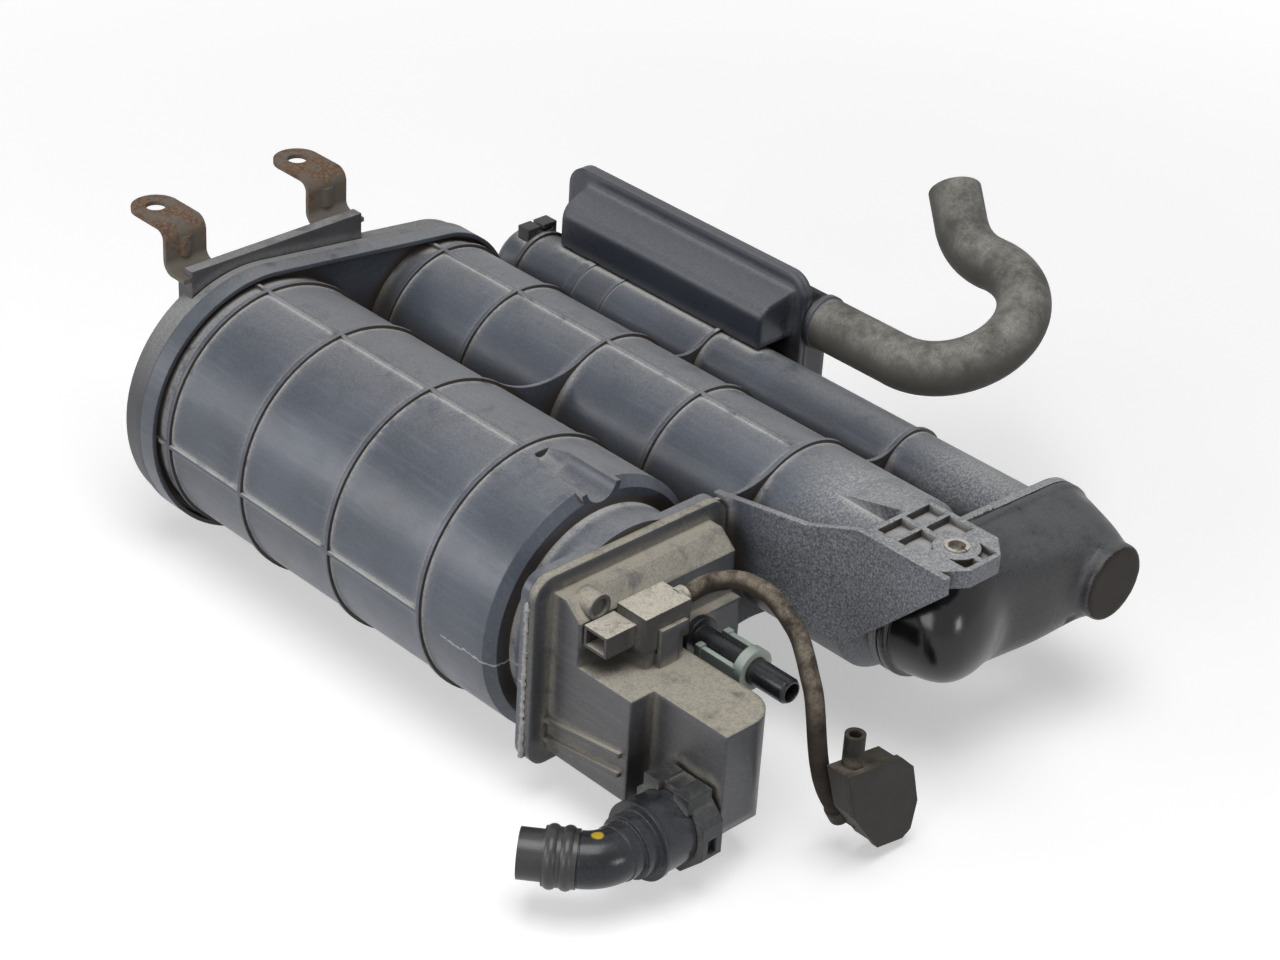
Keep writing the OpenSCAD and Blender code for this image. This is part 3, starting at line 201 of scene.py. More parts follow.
@dataclass(frozen=True)
class Drift:
    """Dust that thickens along one axis, from start to end in the source's millimetres."""

    axis: Axis
    start: float
    end: float
    low: float = 0.0
    high: float = 1.0
    film: float = 0.0
    FLECKS: ClassVar[Range] = (0.36, 0.66, 0.1, 1.5)

    def spread(self, tree: Tree, patterns: Patterns, dust: Socket) -> Socket:
        """Thickens dust along the axis, under a flecked film where the drift has one.

        Args:
            tree: Tree of the material.
            patterns: The finish's patterns.
            dust: Share of dust so far.
        Returns:
            The new share of dust.
        """
        run = add(tree, "SeparateXYZ", {0: patterns.place}).outputs[self.axis.value]
        shift = getattr(ORIGIN, self.axis.value.lower())
        ends = span((self.start + shift) * MM, (self.end + shift) * MM, self.low, self.high)
        ramp = add(tree, "MapRange", {0: run, **ends}, **SOFT).outputs[0]
        dust = add(tree, "Math", {0: dust, 1: ramp}, operation="MULTIPLY").outputs[0]
        if not self.film:
            return dust
        haze = add(tree, "MapRange", {0: ramp, **span(self.low, self.high, high=self.film)}).outputs[0]
        flecks = add(tree, "MapRange", {0: patterns.speck, **span(*self.FLECKS)}).outputs[0]
        return add(tree, "Math", {0: haze, 1: flecks, 2: dust}, operation="MULTIPLY_ADD").outputs[0]


@dataclass(frozen=True)
class Dab:
    """Small ragged dab of paint at a spot, with its reach in millimetres."""

    spot: Point
    reach: float
    paint: str
    ragged: float = 0.6

    def brush(self, tree: Tree, patterns: Patterns, skin: Socket) -> Socket:
        """Paints the dab over a colour.

        Args:
            tree: Tree of the material.
            patterns: The finish's patterns.
            skin: Colour so far.
        Returns:
            The colour with the dab on it.
        """
        reach, sway = self.reach * MM, self.ragged * self.reach * MM
        gap = add(tree, "VectorMath", {0: patterns.place, 1: at(*self.spot)}, operation="DISTANCE")
        rough = add(tree, "MapRange", {0: patterns.patch, **span(0.0, 1.0, -sway, sway)})
        gap = add(tree, "Math", {0: gap.outputs["Value"], 1: rough.outputs[0]}, operation="ADD")
        mark = add(tree, "MapRange", {0: gap.outputs[0], **span(reach, sway)}, **SOFT)
        mix = add(tree, "Mix", {0: mark.outputs[0], 6: skin, 7: linear(self.paint)}, data_type="RGBA")
        return mix.outputs[2]


@dataclass(frozen=True)
class Hairline:
    """Pale hairline crack that wanders along the left flank, at a height and ahead of a rear end.

    It is drawn wider than it is, so that it shows. The lengths are the source's millimetres.
    """

    height: float
    rear: float
    sway: float = 5.0
    outer: float = 0.45
    inner: float = 0.2
    share: float = 0.7

    def draw(self, tree: Tree, patterns: Patterns, skin: Socket, pale: str) -> Socket:
        """Draws the crack over a colour.

        Args:
            tree: Tree of the material.
            patterns: The finish's patterns.
            skin: Colour so far.
            pale: Colour of the crack.
        Returns:
            The colour with the crack in it.
        """
        line = add(tree, "SeparateXYZ", {0: patterns.place}).outputs
        wander = span(0.0, 1.0, -self.sway * MM, self.sway * MM)
        sway = add(tree, "MapRange", {0: patterns.patch, **wander}).outputs[0]
        off = add(tree, "Math", {0: line["Z"], 1: sway}, operation="ADD").outputs[0]
        height, rear = (self.height + ORIGIN.z) * MM, (self.rear + ORIGIN.y) * MM
        off = add(tree, "Math", {0: off, 1: height}, operation="SUBTRACT").outputs[0]
        off = add(tree, "Math", {0: off}, operation="ABSOLUTE").outputs[0]
        width = span(self.outer * MM, self.inner * MM, high=self.share)
        mark = add(tree, "MapRange", {0: off, **width}).outputs[0]
        ahead = add(tree, "Math", {0: line["Y"], 1: rear}, operation="LESS_THAN").outputs[0]
        left = add(tree, "Math", {0: line["X"], 1: ORIGIN.x * MM}, operation="LESS_THAN").outputs[0]
        mark = add(tree, "Math", {0: mark, 1: ahead}, operation="MULTIPLY").outputs[0]
        mark = add(tree, "Math", {0: mark, 1: left}, operation="MULTIPLY").outputs[0]
        return add(tree, "Mix", {0: mark, 6: skin, 7: linear(pale)}, data_type="RGBA").outputs[2]


@dataclass(frozen=True)
class DustyPlastic(Finish):
    """Moulded plastic: satin, with dust on its tops and corners, and grime and painted shade in its
    valleys.

    lee is the direction that dust settles from, and scuff and bare_shaded_flanks are shares from 0 to 1.
    """

    worn: str = "#6b6f77"
    dust: str = "#a3a29c"
    # Colour of the grime in deep places, which also paints their shade and the shade on steep rib flanks.
    dirt_and_shade: str = "#2b2825"
    soil: Soil = Soil.LIGHT
    patch_mm: float = 12.0
    edge_mm: float = 0.8
    scuff: float = 0.0
    # Share of painted shade on the steep rib flanks, which are also bared of dust.
    bare_shaded_flanks: float = 0.0
    lee: Point = (0.0, 0.0, 1.0)
    drift: Optional[Drift] = None
    dab: Optional[Dab] = None
    hairline: Optional[Hairline] = None

    # Real sizes of the fixed patterns. The scuffs are wider than real scratches, so that they show.
    BROAD_MM: ClassVar[float] = 60.0
    SPECK_MM: ClassVar[float] = 1.0
    GRAIN_MM: ClassVar[float] = 0.9
    SCUFF_MM: ClassVar[float] = 2.2
    CORNER_MM: ClassVar[float] = 6.0
    VALLEY_MM: ClassVar[float] = 34.0
    RELIEF_MM: ClassVar[float] = 0.3
    # Where each effect starts and is full.
    COVER_EDGE: ClassVar[float] = 0.32
    CORNER: ClassVar[Range] = (0.96, 0.66)
    VALLEY: ClassVar[Range] = (0.6, 0.26)
    TOP: ClassVar[Range] = (0.2, 0.96)
    RAGGED: ClassVar[Range] = (0.26, 0.5)
    STEEP: ClassVar[Range] = (0.45, 0.8)
    GRIT: ClassVar[Range] = (0.36, 0.64, 0.75, 1.25)
    TONE: ClassVar[Range] = (0.36, 0.66, 0.0, 0.7)
    MOTTLE: ClassVar[Range] = (0.4, 0.62, 0.0, 0.3)
    SCUFF: ClassVar[Range] = (0.52, 0.74)
    SHEEN: ClassVar[Range] = (0.3, 0.7)
    # Turn (radians) and stretch that lay the scuffs aslant.
    SCUFF_TURN: ClassVar[Point] = (0.35, 0.2, 0.6)
    SCUFF_STRETCH: ClassVar[Point] = (1.0, 0.07, 1.0)
    # How far the roughness falls and rises in patches, and the roughness of dust.
    SMOOTHER: ClassVar[float] = 0.04
    ROUGHER: ClassVar[float] = 0.08
    DUST_ROUGHNESS: ClassVar[float] = 0.92
    # Height of the dust's grit beside the moulded grain, and the strength of both.
    GRIT_HEIGHT: ClassVar[float] = 1.4
    BUMP: ClassVar[float] = 0.12

    def patterns(self, tree: Tree) -> Patterns:
        """Adds the noises and the nearness of other faces.

        Args:
            tree: Tree of the material.
        Returns:
            The outputs that the rest is mixed from.
        """
        place = add(tree, "TexCoord").outputs["Object"]
        normal = add(tree, "NewGeometry").outputs["Normal"]
        broad = add(tree, "TexNoise", {"Vector": place, "Scale": per_mm(self.BROAD_MM), "Detail": 3.0})
        patch = add(tree, "TexNoise", {"Vector": place, "Scale": per_mm(self.patch_mm), "Detail": 7.0,
                                       "Roughness": 0.66})
        speck = add(tree, "TexNoise", {"Vector": place, "Scale": per_mm(self.SPECK_MM), "Detail": 3.0,
                                       "Roughness": 0.6})
        edge = span(self.soil.bald, self.soil.bald + self.COVER_EDGE)
        cover = add(tree, "MapRange", {0: patch.outputs[0], **edge}, **SOFT)
        near = add(tree, "AmbientOcclusion", {"Distance": self.CORNER_MM * MM}, samples=8)
        # The far occlusion paints shade in deep places, mixed with the grime that gathers there.
        far = add(tree, "AmbientOcclusion", {"Distance": self.VALLEY_MM * MM}, samples=8)
        corner = add(tree, "MapRange", {0: near.outputs["AO"], **span(*self.CORNER)}, **SOFT)
        deep = span(*self.VALLEY, high=self.soil.valley_dirt_and_shade)
        valley = add(tree, "MapRange", {0: far.outputs["AO"], **deep}, **SOFT)
        return Patterns(place, normal, broad.outputs[0], patch.outputs[0], speck.outputs[0],
                        cover.outputs[0], corner.outputs[0], valley.outputs[0])

    def settled(self, tree: Tree, patterns: Patterns) -> Socket:
        """Lays dust thin and patchy on the tops, and thick along ribs and in corners.

        Args:
            tree: Tree of the material.
            patterns: The finish's patterns.
        Returns:
            The share of dust.
        """
        upward = add(tree, "VectorMath", {0: patterns.normal, 1: self.lee}, operation="DOT_PRODUCT")
        top = add(tree, "MapRange", {0: upward.outputs["Value"], **span(*self.TOP)}, **SOFT)
        lying = add(tree, "Math", {0: top.outputs[0], 1: patterns.cover}, operation="MULTIPLY")
        torn = span(*self.RAGGED, high=self.soil.in_corner)
        ragged = add(tree, "MapRange", {0: patterns.patch, **torn}, **SOFT)
        packed = add(tree, "Math", {0: patterns.corner, 1: ragged.outputs[0]}, operation="MULTIPLY")
        dust = add(tree, "Math", {0: lying.outputs[0], 1: self.soil.on_top, 2: packed.outputs[0]},
                   operation="MULTIPLY_ADD")
        return add(tree, "Math", {0: dust.outputs[0], 1: self.soil.film}, operation="ADD").outputs[0]

    def shed_and_shade(self, tree: Tree, patterns: Patterns, dust: Socket) -> tuple[Socket, Socket]:
        """Bares the steep flanks of the hoop ribs of dust, and paints shade on them as a dark line.

        Args:
            tree: Tree of the material.
            patterns: The finish's patterns.
            dust: Share of dust so far.
        Returns:
            The new share of dust, and the share of grime and painted shade.
        """
        flank = add(tree, "SeparateXYZ", {0: patterns.normal}).outputs["Y"]
        flank = add(tree, "Math", {0: flank}, operation="ABSOLUTE").outputs[0]
        steep = add(tree, "MapRange", {0: flank, **span(*self.STEEP)}, **SOFT).outputs[0]
        flat = add(tree, "Math", {0: 1.0, 1: steep}, operation="SUBTRACT").outputs[0]
        dust = add(tree, "Math", {0: dust, 1: flat}, operation="MULTIPLY").outputs[0]
        # Painted shade: the steep rib flanks darken as if in shadow.
        painted_flank_shade = add(tree, "Math", {0: steep, 1: patterns.corner}, operation="MULTIPLY").outputs[0]
        dirt_and_shade = add(tree, "Math", {0: painted_flank_shade, 1: self.bare_shaded_flanks, 2: patterns.valley},
                   operation="MULTIPLY_ADD", use_clamp=True).outputs[0]
        return dust, dirt_and_shade

    def plain(self, tree: Tree, patterns: Patterns) -> Socket:
        """Mixes the plastic's own colour: mottled, worn in broad patches and scuffed.

        Args:
            tree: Tree of the material.
            patterns: The finish's patterns.
        Returns:
            The colour without soil.
        """
        tone = add(tree, "MapRange", {0: patterns.broad, **span(*self.TONE)}, **SOFT).outputs[0]
        mottle = add(tree, "MapRange", {0: patterns.speck, **span(*self.MOTTLE)}).outputs[0]
        tone = add(tree, "Math", {0: tone, 1: mottle}, operation="ADD", use_clamp=True).outputs[0]
        if self.scuff:
            lay = add(tree, "Mapping", {"Vector": patterns.place, "Rotation": self.SCUFF_TURN,
                                        "Scale": self.SCUFF_STRETCH}).outputs[0]
            drag = add(tree, "TexNoise", {"Vector": lay, "Scale": per_mm(self.SCUFF_MM), "Detail": 4.0})
            worst = span(*self.SCUFF, high=self.scuff)
            drag = add(tree, "MapRange", {0: drag.outputs[0], **worst}).outputs[0]
            drag = add(tree, "Math", {0: drag, 1: patterns.cover}, operation="MULTIPLY").outputs[0]
            tone = add(tree, "Math", {0: tone, 1: drag}, operation="ADD", use_clamp=True).outputs[0]
        mix = add(tree, "Mix", {0: tone, 6: linear(self.colour), 7: linear(self.worn)}, data_type="RGBA")
        return mix.outputs[2]

    def texture(self, tree: Tree, shader: bpy.types.Node, patterns: Patterns, dust: Socket) -> None:
        """Sets the sheen and the relief: moulded grain, soft edges and the dust's grit.

        Args:
            tree: Tree of the material.
            shader: Its surface shader.
            patterns: The finish's patterns.
            dust: Share of dust.
        """
        levels = span(*self.SHEEN, self.roughness - self.SMOOTHER, self.roughness + self.ROUGHER)
        sheen = add(tree, "MapRange", {0: patterns.patch, **levels}).outputs[0]
        matt = add(tree, "Mix", {0: dust, 2: sheen, 3: self.DUST_ROUGHNESS}).outputs[0]
        tree.links.new(matt, shader.inputs["Roughness"])
        grain = add(tree, "TexNoise", {"Vector": patterns.place, "Scale": per_mm(self.GRAIN_MM),
                                       "Detail": 2.0}).outputs[0]
        grit = add(tree, "Math", {0: dust, 1: patterns.speck}, operation="MULTIPLY").outputs[0]
        relief = add(tree, "Math", {0: grit, 1: self.GRIT_HEIGHT, 2: grain}, operation="MULTIPLY_ADD")
        edge = add(tree, "Bevel", {"Radius": self.edge_mm * MM}, samples=6).outputs[0]
        bump = add(tree, "Bump", {"Height": relief.outputs[0], "Normal": edge, "Strength": self.BUMP,
                                  "Distance": self.RELIEF_MM * MM})
        tree.links.new(bump.outputs[0], shader.inputs["Normal"])

    def build(self) -> bpy.types.Material:
        """Mixes the plastic, its dust, its grime with painted shade and its marks.

        Returns:
            The material.
        """
        material, tree, shader = self.blank()
        patterns = self.patterns(tree)
        dust, dirt_and_shade = self.settled(tree, patterns), patterns.valley
        if self.bare_shaded_flanks:
            dust, dirt_and_shade = self.shed_and_shade(tree, patterns, dust)
        if self.drift:
            dust = self.drift.spread(tree, patterns, dust)
        grit = add(tree, "MapRange", {0: patterns.speck, **span(*self.GRIT)}).outputs[0]
        dust = add(tree, "Math", {0: dust, 1: grit}, operation="MULTIPLY", use_clamp=True).outputs[0]
        skin = self.plain(tree, patterns)
        skin = add(tree, "Mix", {0: dust, 6: skin, 7: linear(self.dust)}, data_type="RGBA").outputs[2]
        # Grime and painted shade darken the valleys and, where set, the steep rib flanks.
        skin = add(tree, "Mix", {0: dirt_and_shade, 6: skin, 7: linear(self.dirt_and_shade)}, data_type="RGBA").outputs[2]
        if self.dab:
            skin = self.dab.brush(tree, patterns, skin)
        if self.hairline:
            skin = self.hairline.draw(tree, patterns, skin, self.dust)
        tree.links.new(skin, shader.inputs["Base Color"])
        self.texture(tree, shader, patterns, dust)
        return material


@dataclass(frozen=True)
class RustedSteel(Finish):
    """Pressed mild steel with worn paint, rusting most on its upper tabs."""

    rust: str = "#8a5a3c"
    deep_rust: str = "#4a3226"
    patch_mm: float = 11.0
    fine_mm: float = 1.6
    edge_mm: float = 0.5
    relief_mm: float = 0.3
    # Heights over the floor (mm) between which the rust gets heavier, and by how much.
    TABS_MM: ClassVar[Pair] = (125.0, 147.0)
    HEAVIER: ClassVar[Pair] = (-0.05, 0.16)
    BLOOM: ClassVar[Range] = (0.48, 0.7, 0.0, 0.85)
    TINT: ClassVar[Range] = (0.35, 0.65)
    RUST_ROUGHNESS: ClassVar[float] = 0.9
    BUMP: ClassVar[float] = 0.4

    def build(self) -> bpy.types.Material:
        """Lets two browns bloom through the paint.

        Returns:
            The material.
        """
        material, tree, shader = self.blank()
        place = add(tree, "TexCoord").outputs["Object"]
        patch = add(tree, "TexNoise", {"Vector": place, "Scale": per_mm(self.patch_mm), "Detail": 8.0,
                                       "Roughness": 0.7}).outputs[0]
        fine = add(tree, "TexNoise", {"Vector": place, "Scale": per_mm(self.fine_mm), "Detail": 4.0})
        height = add(tree, "SeparateXYZ", {0: place}).outputs["Z"]
        tabs = span(*(level * MM for level in self.TABS_MM), *self.HEAVIER)
        heavier = add(tree, "MapRange", {0: height, **tabs}).outputs[0]
        seed = add(tree, "Math", {0: patch, 1: heavier}, operation="ADD").outputs[0]
        bloom = add(tree, "MapRange", {0: seed, **span(*self.BLOOM)}, **SOFT).outputs[0]
        tint = add(tree, "MapRange", {0: fine.outputs[0], **span(*self.TINT)}, **SOFT).outputs[0]
        brown = add(tree, "Mix", {0: tint, 6: linear(self.deep_rust), 7: linear(self.rust)},
                    data_type="RGBA").outputs[2]
        skin = add(tree, "Mix", {0: bloom, 6: linear(self.colour), 7: brown}, data_type="RGBA")
        tree.links.new(skin.outputs[2], shader.inputs["Base Color"])
        levels = span(0.0, 1.0, self.roughness, self.RUST_ROUGHNESS)
        matt = add(tree, "MapRange", {0: bloom, **levels}).outputs[0]
        tree.links.new(matt, shader.inputs["Roughness"])
        scale = add(tree, "Math", {0: bloom, 1: fine.outputs[0]}, operation="MULTIPLY").outputs[0]
        edge = add(tree, "Bevel", {"Radius": self.edge_mm * MM}, samples=4).outputs[0]
        bump = add(tree, "Bump", {"Height": scale, "Normal": edge, "Strength": self.BUMP,
                                  "Distance": self.relief_mm * MM})
        tree.links.new(bump.outputs[0], shader.inputs["Normal"])
        return material


@dataclass(frozen=True)
class BareMetal(Finish):
    """Plated or bare wire and sheet, dulled by handling."""

    dull: str = "#6f6656"
    patch_mm: float = 3.0
    WEAR: ClassVar[Range] = (0.45, 0.7)
    DULL_ROUGHNESS: ClassVar[float] = 0.6

    def build(self) -> bpy.types.Material:
        """Mixes bright metal with dull patches.

        Returns:
            The material.
        """
        material, tree, shader = self.blank()
        shader.inputs["Metallic"].default_value = 1.0
        place = add(tree, "TexCoord").outputs["Object"]
        patch = add(tree, "TexNoise", {"Vector": place, "Scale": per_mm(self.patch_mm), "Detail": 6.0})
        wear = add(tree, "MapRange", {0: patch.outputs[0], **span(*self.WEAR)}).outputs[0]
        tint = add(tree, "Mix", {0: wear, 6: linear(self.colour), 7: linear(self.dull)}, data_type="RGBA")
        tree.links.new(tint.outputs[2], shader.inputs["Base Color"])
        levels = span(0.0, 1.0, self.roughness, self.DULL_ROUGHNESS)
        matt = add(tree, "MapRange", {0: wear, **levels}).outputs[0]
        tree.links.new(matt, shader.inputs["Roughness"])
        return material


@dataclass(frozen=True)
class DryRubber(Finish):
    """Moulded rubber: matt, and greyed by road dust on its upper side."""

    dust: str = "#8d877b"
    share: float = 0.5
    patch_mm: float = 14.0
    fine_mm: float = 0.9
    relief_mm: float = 0.25
    TOP: ClassVar[Range] = (0.0, 0.9, 0.1, 1.0)
    COVER: ClassVar[Range] = (0.3, 0.7)
    GRIT: ClassVar[Range] = (0.3, 0.7, 0.7, 1.3)
    BUMP: ClassVar[float] = 0.2

    def build(self) -> bpy.types.Material:
        """Mixes rubber with gritty dust.

        Returns:
            The material.
        """
        material, tree, shader = self.blank()
        place = add(tree, "TexCoord").outputs["Object"]
        normal = add(tree, "NewGeometry").outputs["Normal"]
        up = add(tree, "SeparateXYZ", {0: normal}).outputs["Z"]
        top = add(tree, "MapRange", {0: up, **span(*self.TOP)}, **SOFT).outputs[0]
        patch = add(tree, "TexNoise", {"Vector": place, "Scale": per_mm(self.patch_mm), "Detail": 8.0,
                                       "Roughness": 0.7}).outputs[0]
        fine = add(tree, "TexNoise", {"Vector": place, "Scale": per_mm(self.fine_mm), "Detail": 3.0})
        most = span(*self.COVER, high=self.share)
        cover = add(tree, "MapRange", {0: patch, **most}, **SOFT).outputs[0]
        dust = add(tree, "Math", {0: cover, 1: top}, operation="MULTIPLY").outputs[0]
        grit = add(tree, "MapRange", {0: fine.outputs[0], **span(*self.GRIT)}).outputs[0]
        dust = add(tree, "Math", {0: dust, 1: grit}, operation="MULTIPLY", use_clamp=True).outputs[0]
        tint = add(tree, "Mix", {0: dust, 6: linear(self.colour), 7: linear(self.dust)}, data_type="RGBA")
        tree.links.new(tint.outputs[2], shader.inputs["Base Color"])
        bump = add(tree, "Bump", {"Height": fine.outputs[0], "Strength": self.BUMP,
                                  "Distance": self.relief_mm * MM})
        tree.links.new(bump.outputs[0], shader.inputs["Normal"])
        return material


@dataclass(frozen=True)
class Granular(Finish):
    """Packed pellets, felt or open foam: small cells, each a little lighter or darker."""

    pale: str = "#555555"
    cell_mm: float = 2.5
    relief: float = 0.8
    # Depth of the gaps between cells, as a share of a cell.
    GAP: ClassVar[float] = 0.4

    def build(self) -> bpy.types.Material:
        """Gives each cell a tone of its own and a rounded face.

        Returns:
            The material.
        """
        material, tree, shader = self.blank()
        place = add(tree, "TexCoord").outputs["Object"]
        cells = add(tree, "TexVoronoi", {"Vector": place, "Scale": per_mm(self.cell_mm)})
        tone = add(tree, "SeparateColor", {0: cells.outputs["Color"]}).outputs[0]
        tint = add(tree, "Mix", {0: tone, 6: linear(self.colour), 7: linear(self.pale)}, data_type="RGBA")
        tree.links.new(tint.outputs[2], shader.inputs["Base Color"])
        bump = add(tree, "Bump", {"Height": cells.outputs["Distance"], "Strength": self.relief,
                                  "Distance": self.GAP * self.cell_mm * MM}, invert=True)
        tree.links.new(bump.outputs[0], shader.inputs["Normal"])
        return material


class Wardrobe:
    """Gives each CAD node the finish of its real material."""

    def finishes(self) -> dict[Finish, tuple[str, ...]]:
        """Lists what each finish dresses.

        Returns:
            The names of its nodes, by finish.
        """
        return {
            # Glass-filled nylon, moulded: slate with a satin sheen, pale dust along every rib and
            # towards the front, dark grime with painted shade between the chambers, painted shade on
            # the steep rib flanks and a pale crack on the left.
            DustyPlastic("slate_nylon", "#3e434d", 0.3, gloss=0.42, worn="#505661", dust="#b4b4b3",
                         dirt_and_shade="#38312b", soil=Soil.WORN, scuff=0.7, bare_shaded_flanks=0.9, lee=(0.6, 0.0, 0.8),
                         drift=Drift(Axis.ALONG, -118.0, -150.0, 1.0, 1.25, film=0.24),
                         hairline=Hairline(-4.9, -70.0)): ("body_shell",),
            # The same nylon: duller, with grey dust caked on its tops.
            DustyPlastic("dusty_slate_nylon", "#393a3e", 0.42, gloss=0.35, worn="#4a4a4d",
                         soil=Soil.CAKED, dust="#8d8d8d", patch_mm=20.0): ("rear_cover",),
            # Nylon, moulded with round edges: grey and scuffed, with tan dust on every step.
            DustyPlastic("grey_nylon", "#36383d", 0.32, gloss=0.45, worn="#4a4c52", soil=Soil.CAKED,
                         dust="#a8a294", scuff=0.8, edge_mm=2.6, lee=(-0.3, 0.0, 0.95)):
                ("front_housing",),
            # Polypropylene, moulded with round edges: blue-black and glossy under a thin film.
            DustyPlastic("filter_polypropylene", "#252933", 0.26, gloss=0.5, worn="#30343f",
                         dust="#85868a", soil=Soil.FILMED, scuff=0.3, edge_mm=4.0):
                ("filter_case", "filter_cover"),
            # PBT, moulded: black with clean sides, its top all but hidden by pale dust.
            DustyPlastic("black_pbt", "#2d2d2f", 0.4, gloss=0.3, worn="#3d3d3e", soil=Soil.TOPPED,
                         dust="#c6c0b2", lee=(-0.2, 0.0, 0.98)): ("sensor_body",),
            # Nylon, moulded: black, smooth and clean, so it shows sharp highlights.
            DustyPlastic("gloss_black_nylon", "#1d1f23", 0.24, worn="#292b30", soil=Soil.CLEAN):
                ("purge_pipe",),
            # The same nylon: blacker still, with a dab of yellow paint.
            DustyPlastic("marked_black_nylon", "#131418", 0.2, gloss=0.36, worn="#2f3239",
                         soil=Soil.CLEAN, dab=Dab((-79.5, -187.0, -22.8), 2.7, "#c2a02c")):
                ("elbow_connector",),
            # Acetal, moulded: black and waxy, with a little dust.
            DustyPlastic("black_acetal", "#1c1d20", 0.36, gloss=0.35, worn="#2c2e33"):
                ("connector_lock", "wiring_clip"),
            # Polypropylene, moulded: brown-black and dull, with earth in its corners.
            DustyPlastic("breather_polypropylene", "#201f1d", 0.5, gloss=0.2, worn="#2c2a27",
                         soil=Soil.WORN, dust="#6b6459"): ("breather_body", "breather_cover"),
            # Acetal, moulded: pale mint, a little greyed.
            DustyPlastic("mint_acetal", "#c0cdc4", 0.45, worn="#adb9b1", dust="#98968b"):
                ("purge_retainer",),
            # Polypropylene, moulded: plain light grey, clean inside the chambers.
            DustyPlastic("plate_polypropylene", "#8d8f90", 0.5, worn="#7d7f80", soil=Soil.CLEAN):
                ("large_plate", "mid_plate", "narrow_plate"),
            # Mild steel, pressed and painted: grey-brown and half matt, with rust on its upper tabs.
            RustedSteel("rusted_steel", "#625c54", 0.5, gloss=0.3, rust="#80624a", deep_rust="#503e31"):
                ("rear_bracket",),
            # Steel, zinc plated: pale and bright, with dull specks.
            BareMetal("zinc_steel", "#c9c5bb", 0.32): ("tab_bushing",),
            # Spring steel, drawn: grey and bright.
            BareMetal("spring_steel", "#a8a8a4", 0.3): ("large_spring", "mid_spring", "narrow_spring"),
            # Brass, stamped: bright pale yellow with olive specks.
            BareMetal("terminal_brass", "#c8b26a", 0.28, dull="#8a7a48"): ("sensor_terminals",),
            # EPDM rubber, moulded: matt and grey with dust.
            DryRubber("drain_rubber", "#4b4945", 0.66, gloss=0.25, dust="#989690", share=0.75):
                ("drain_hose",),
            # The same rubber: darker, smoother and nearly clean.
            DryRubber("elbow_rubber", "#27272a", 0.34, gloss=0.5, dust="#5d5a54", share=0.3):
                ("elbow_hose",),
            # Nitrile rubber, moulded: clean black.
            DryRubber("seal_rubber", "#111111", 0.45, share=0.0): ("sensor_seal", "connector_seals"),
            # Activated carbon, pressed into pellets: black grains, some greyer.
            Granular("carbon_pellets", "#0e0e0f", 0.6, pale="#242424"):
                ("large_carbon", "mid_carbon", "narrow_carbon"),
            # Polyester fleece, needled: off-white with a fine nap.
            Granular("polyester_fleece", "#d8d5c8", 0.9, pale="#c4c0b2", cell_mm=0.8, relief=0.3):
                ("large_front_fleece", "large_rear_fleece", "mid_front_fleece", "mid_rear_fleece",
                 "narrow_front_fleece", "narrow_rear_fleece"),
            # Polyurethane foam, blown: olive grey with small open cells.
            Granular("filter_foam", "#4a4942", 0.9, pale="#75736a", cell_mm=1.0):
                ("filter_foam", "breather_foam"),
        }

    def dress(self) -> None:
        """Assigns every finish to its nodes."""
        for finish, nodes in self.finishes().items():
            material = finish.build()
            for name in nodes:
                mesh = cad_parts[name].data
                mesh.materials.clear()
                mesh.materials.append(material)
            LOG.info("%s on %s", finish.name, ", ".join(nodes))


@dataclass
class SensorHose:
    """Free rubber hose from the pressure sensor's outlet to the breather, in the source's millimetres."""

    diameter: float = 7.6
    roundness: int = 7
    start: Point = (1.0, -146.0, 29.0)
    # Route from the start: out of the sensor, over a low arch and down to the breather.
    bends: tuple[Point, ...] = (
        (0, 0, 0), (4, 0, 0), (8, -1, 1.4), (11, -4, 3.6), (13, -8, 5.8), (15, -13, 7.8),
        (16, -19, 9), (16, -25, 9.4), (16, -31, 9), (15, -37, 7.6), (14, -43, 5.2), (13, -49, 1.6),
        (11, -54.5, -3), (9, -59.5, -8.6), (7.5, -64, -15), (5.6, -67.5, -21.5), (4.9, -69.6, -29),
        (5.6, -70.5, -37), (7.6, -70.5, -45), (10.6, -70.5, -54), (14.6, -70.5, -62.2),
        (17, -70.5, -66.2), (19, -70.5, -69.6),
    )

    def build(self) -> bpy.types.Object:
        """Returns:
            The hose.
        """
        curve = bpy.data.curves.new("sensor_hose_curve", "CURVE")
        curve.dimensions = "3D"
        curve.bevel_depth = self.diameter / 2 * MM
        curve.bevel_resolution = self.roundness
        curve.use_fill_caps = True
        spline = curve.splines.new("BEZIER")
        spline.bezier_points.add(len(self.bends) - 1)
        for point, bend in zip(spline.bezier_points, self.bends):
            point.co = at(*(a + b for a, b in zip(self.start, bend)))
            point.handle_left_type = point.handle_right_type = "AUTO"
        hose = bpy.data.objects.new("sensor_hose_run", curve)
        bpy.context.scene.collection.objects.link(hose)
        bpy.context.view_layer.update()
        # EPDM rubber, moulded: dry brown-black, with earthy dust on its upper side.
        finish = DryRubber("sensor_hose_rubber", "#2b2521", 0.8, gloss=0.15, dust="#948a7b", share=0.75,
                           patch_mm=8.0)
        curve.materials.append(finish.build())
        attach(hose, "root")
        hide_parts("sensor_hose")
        return hose


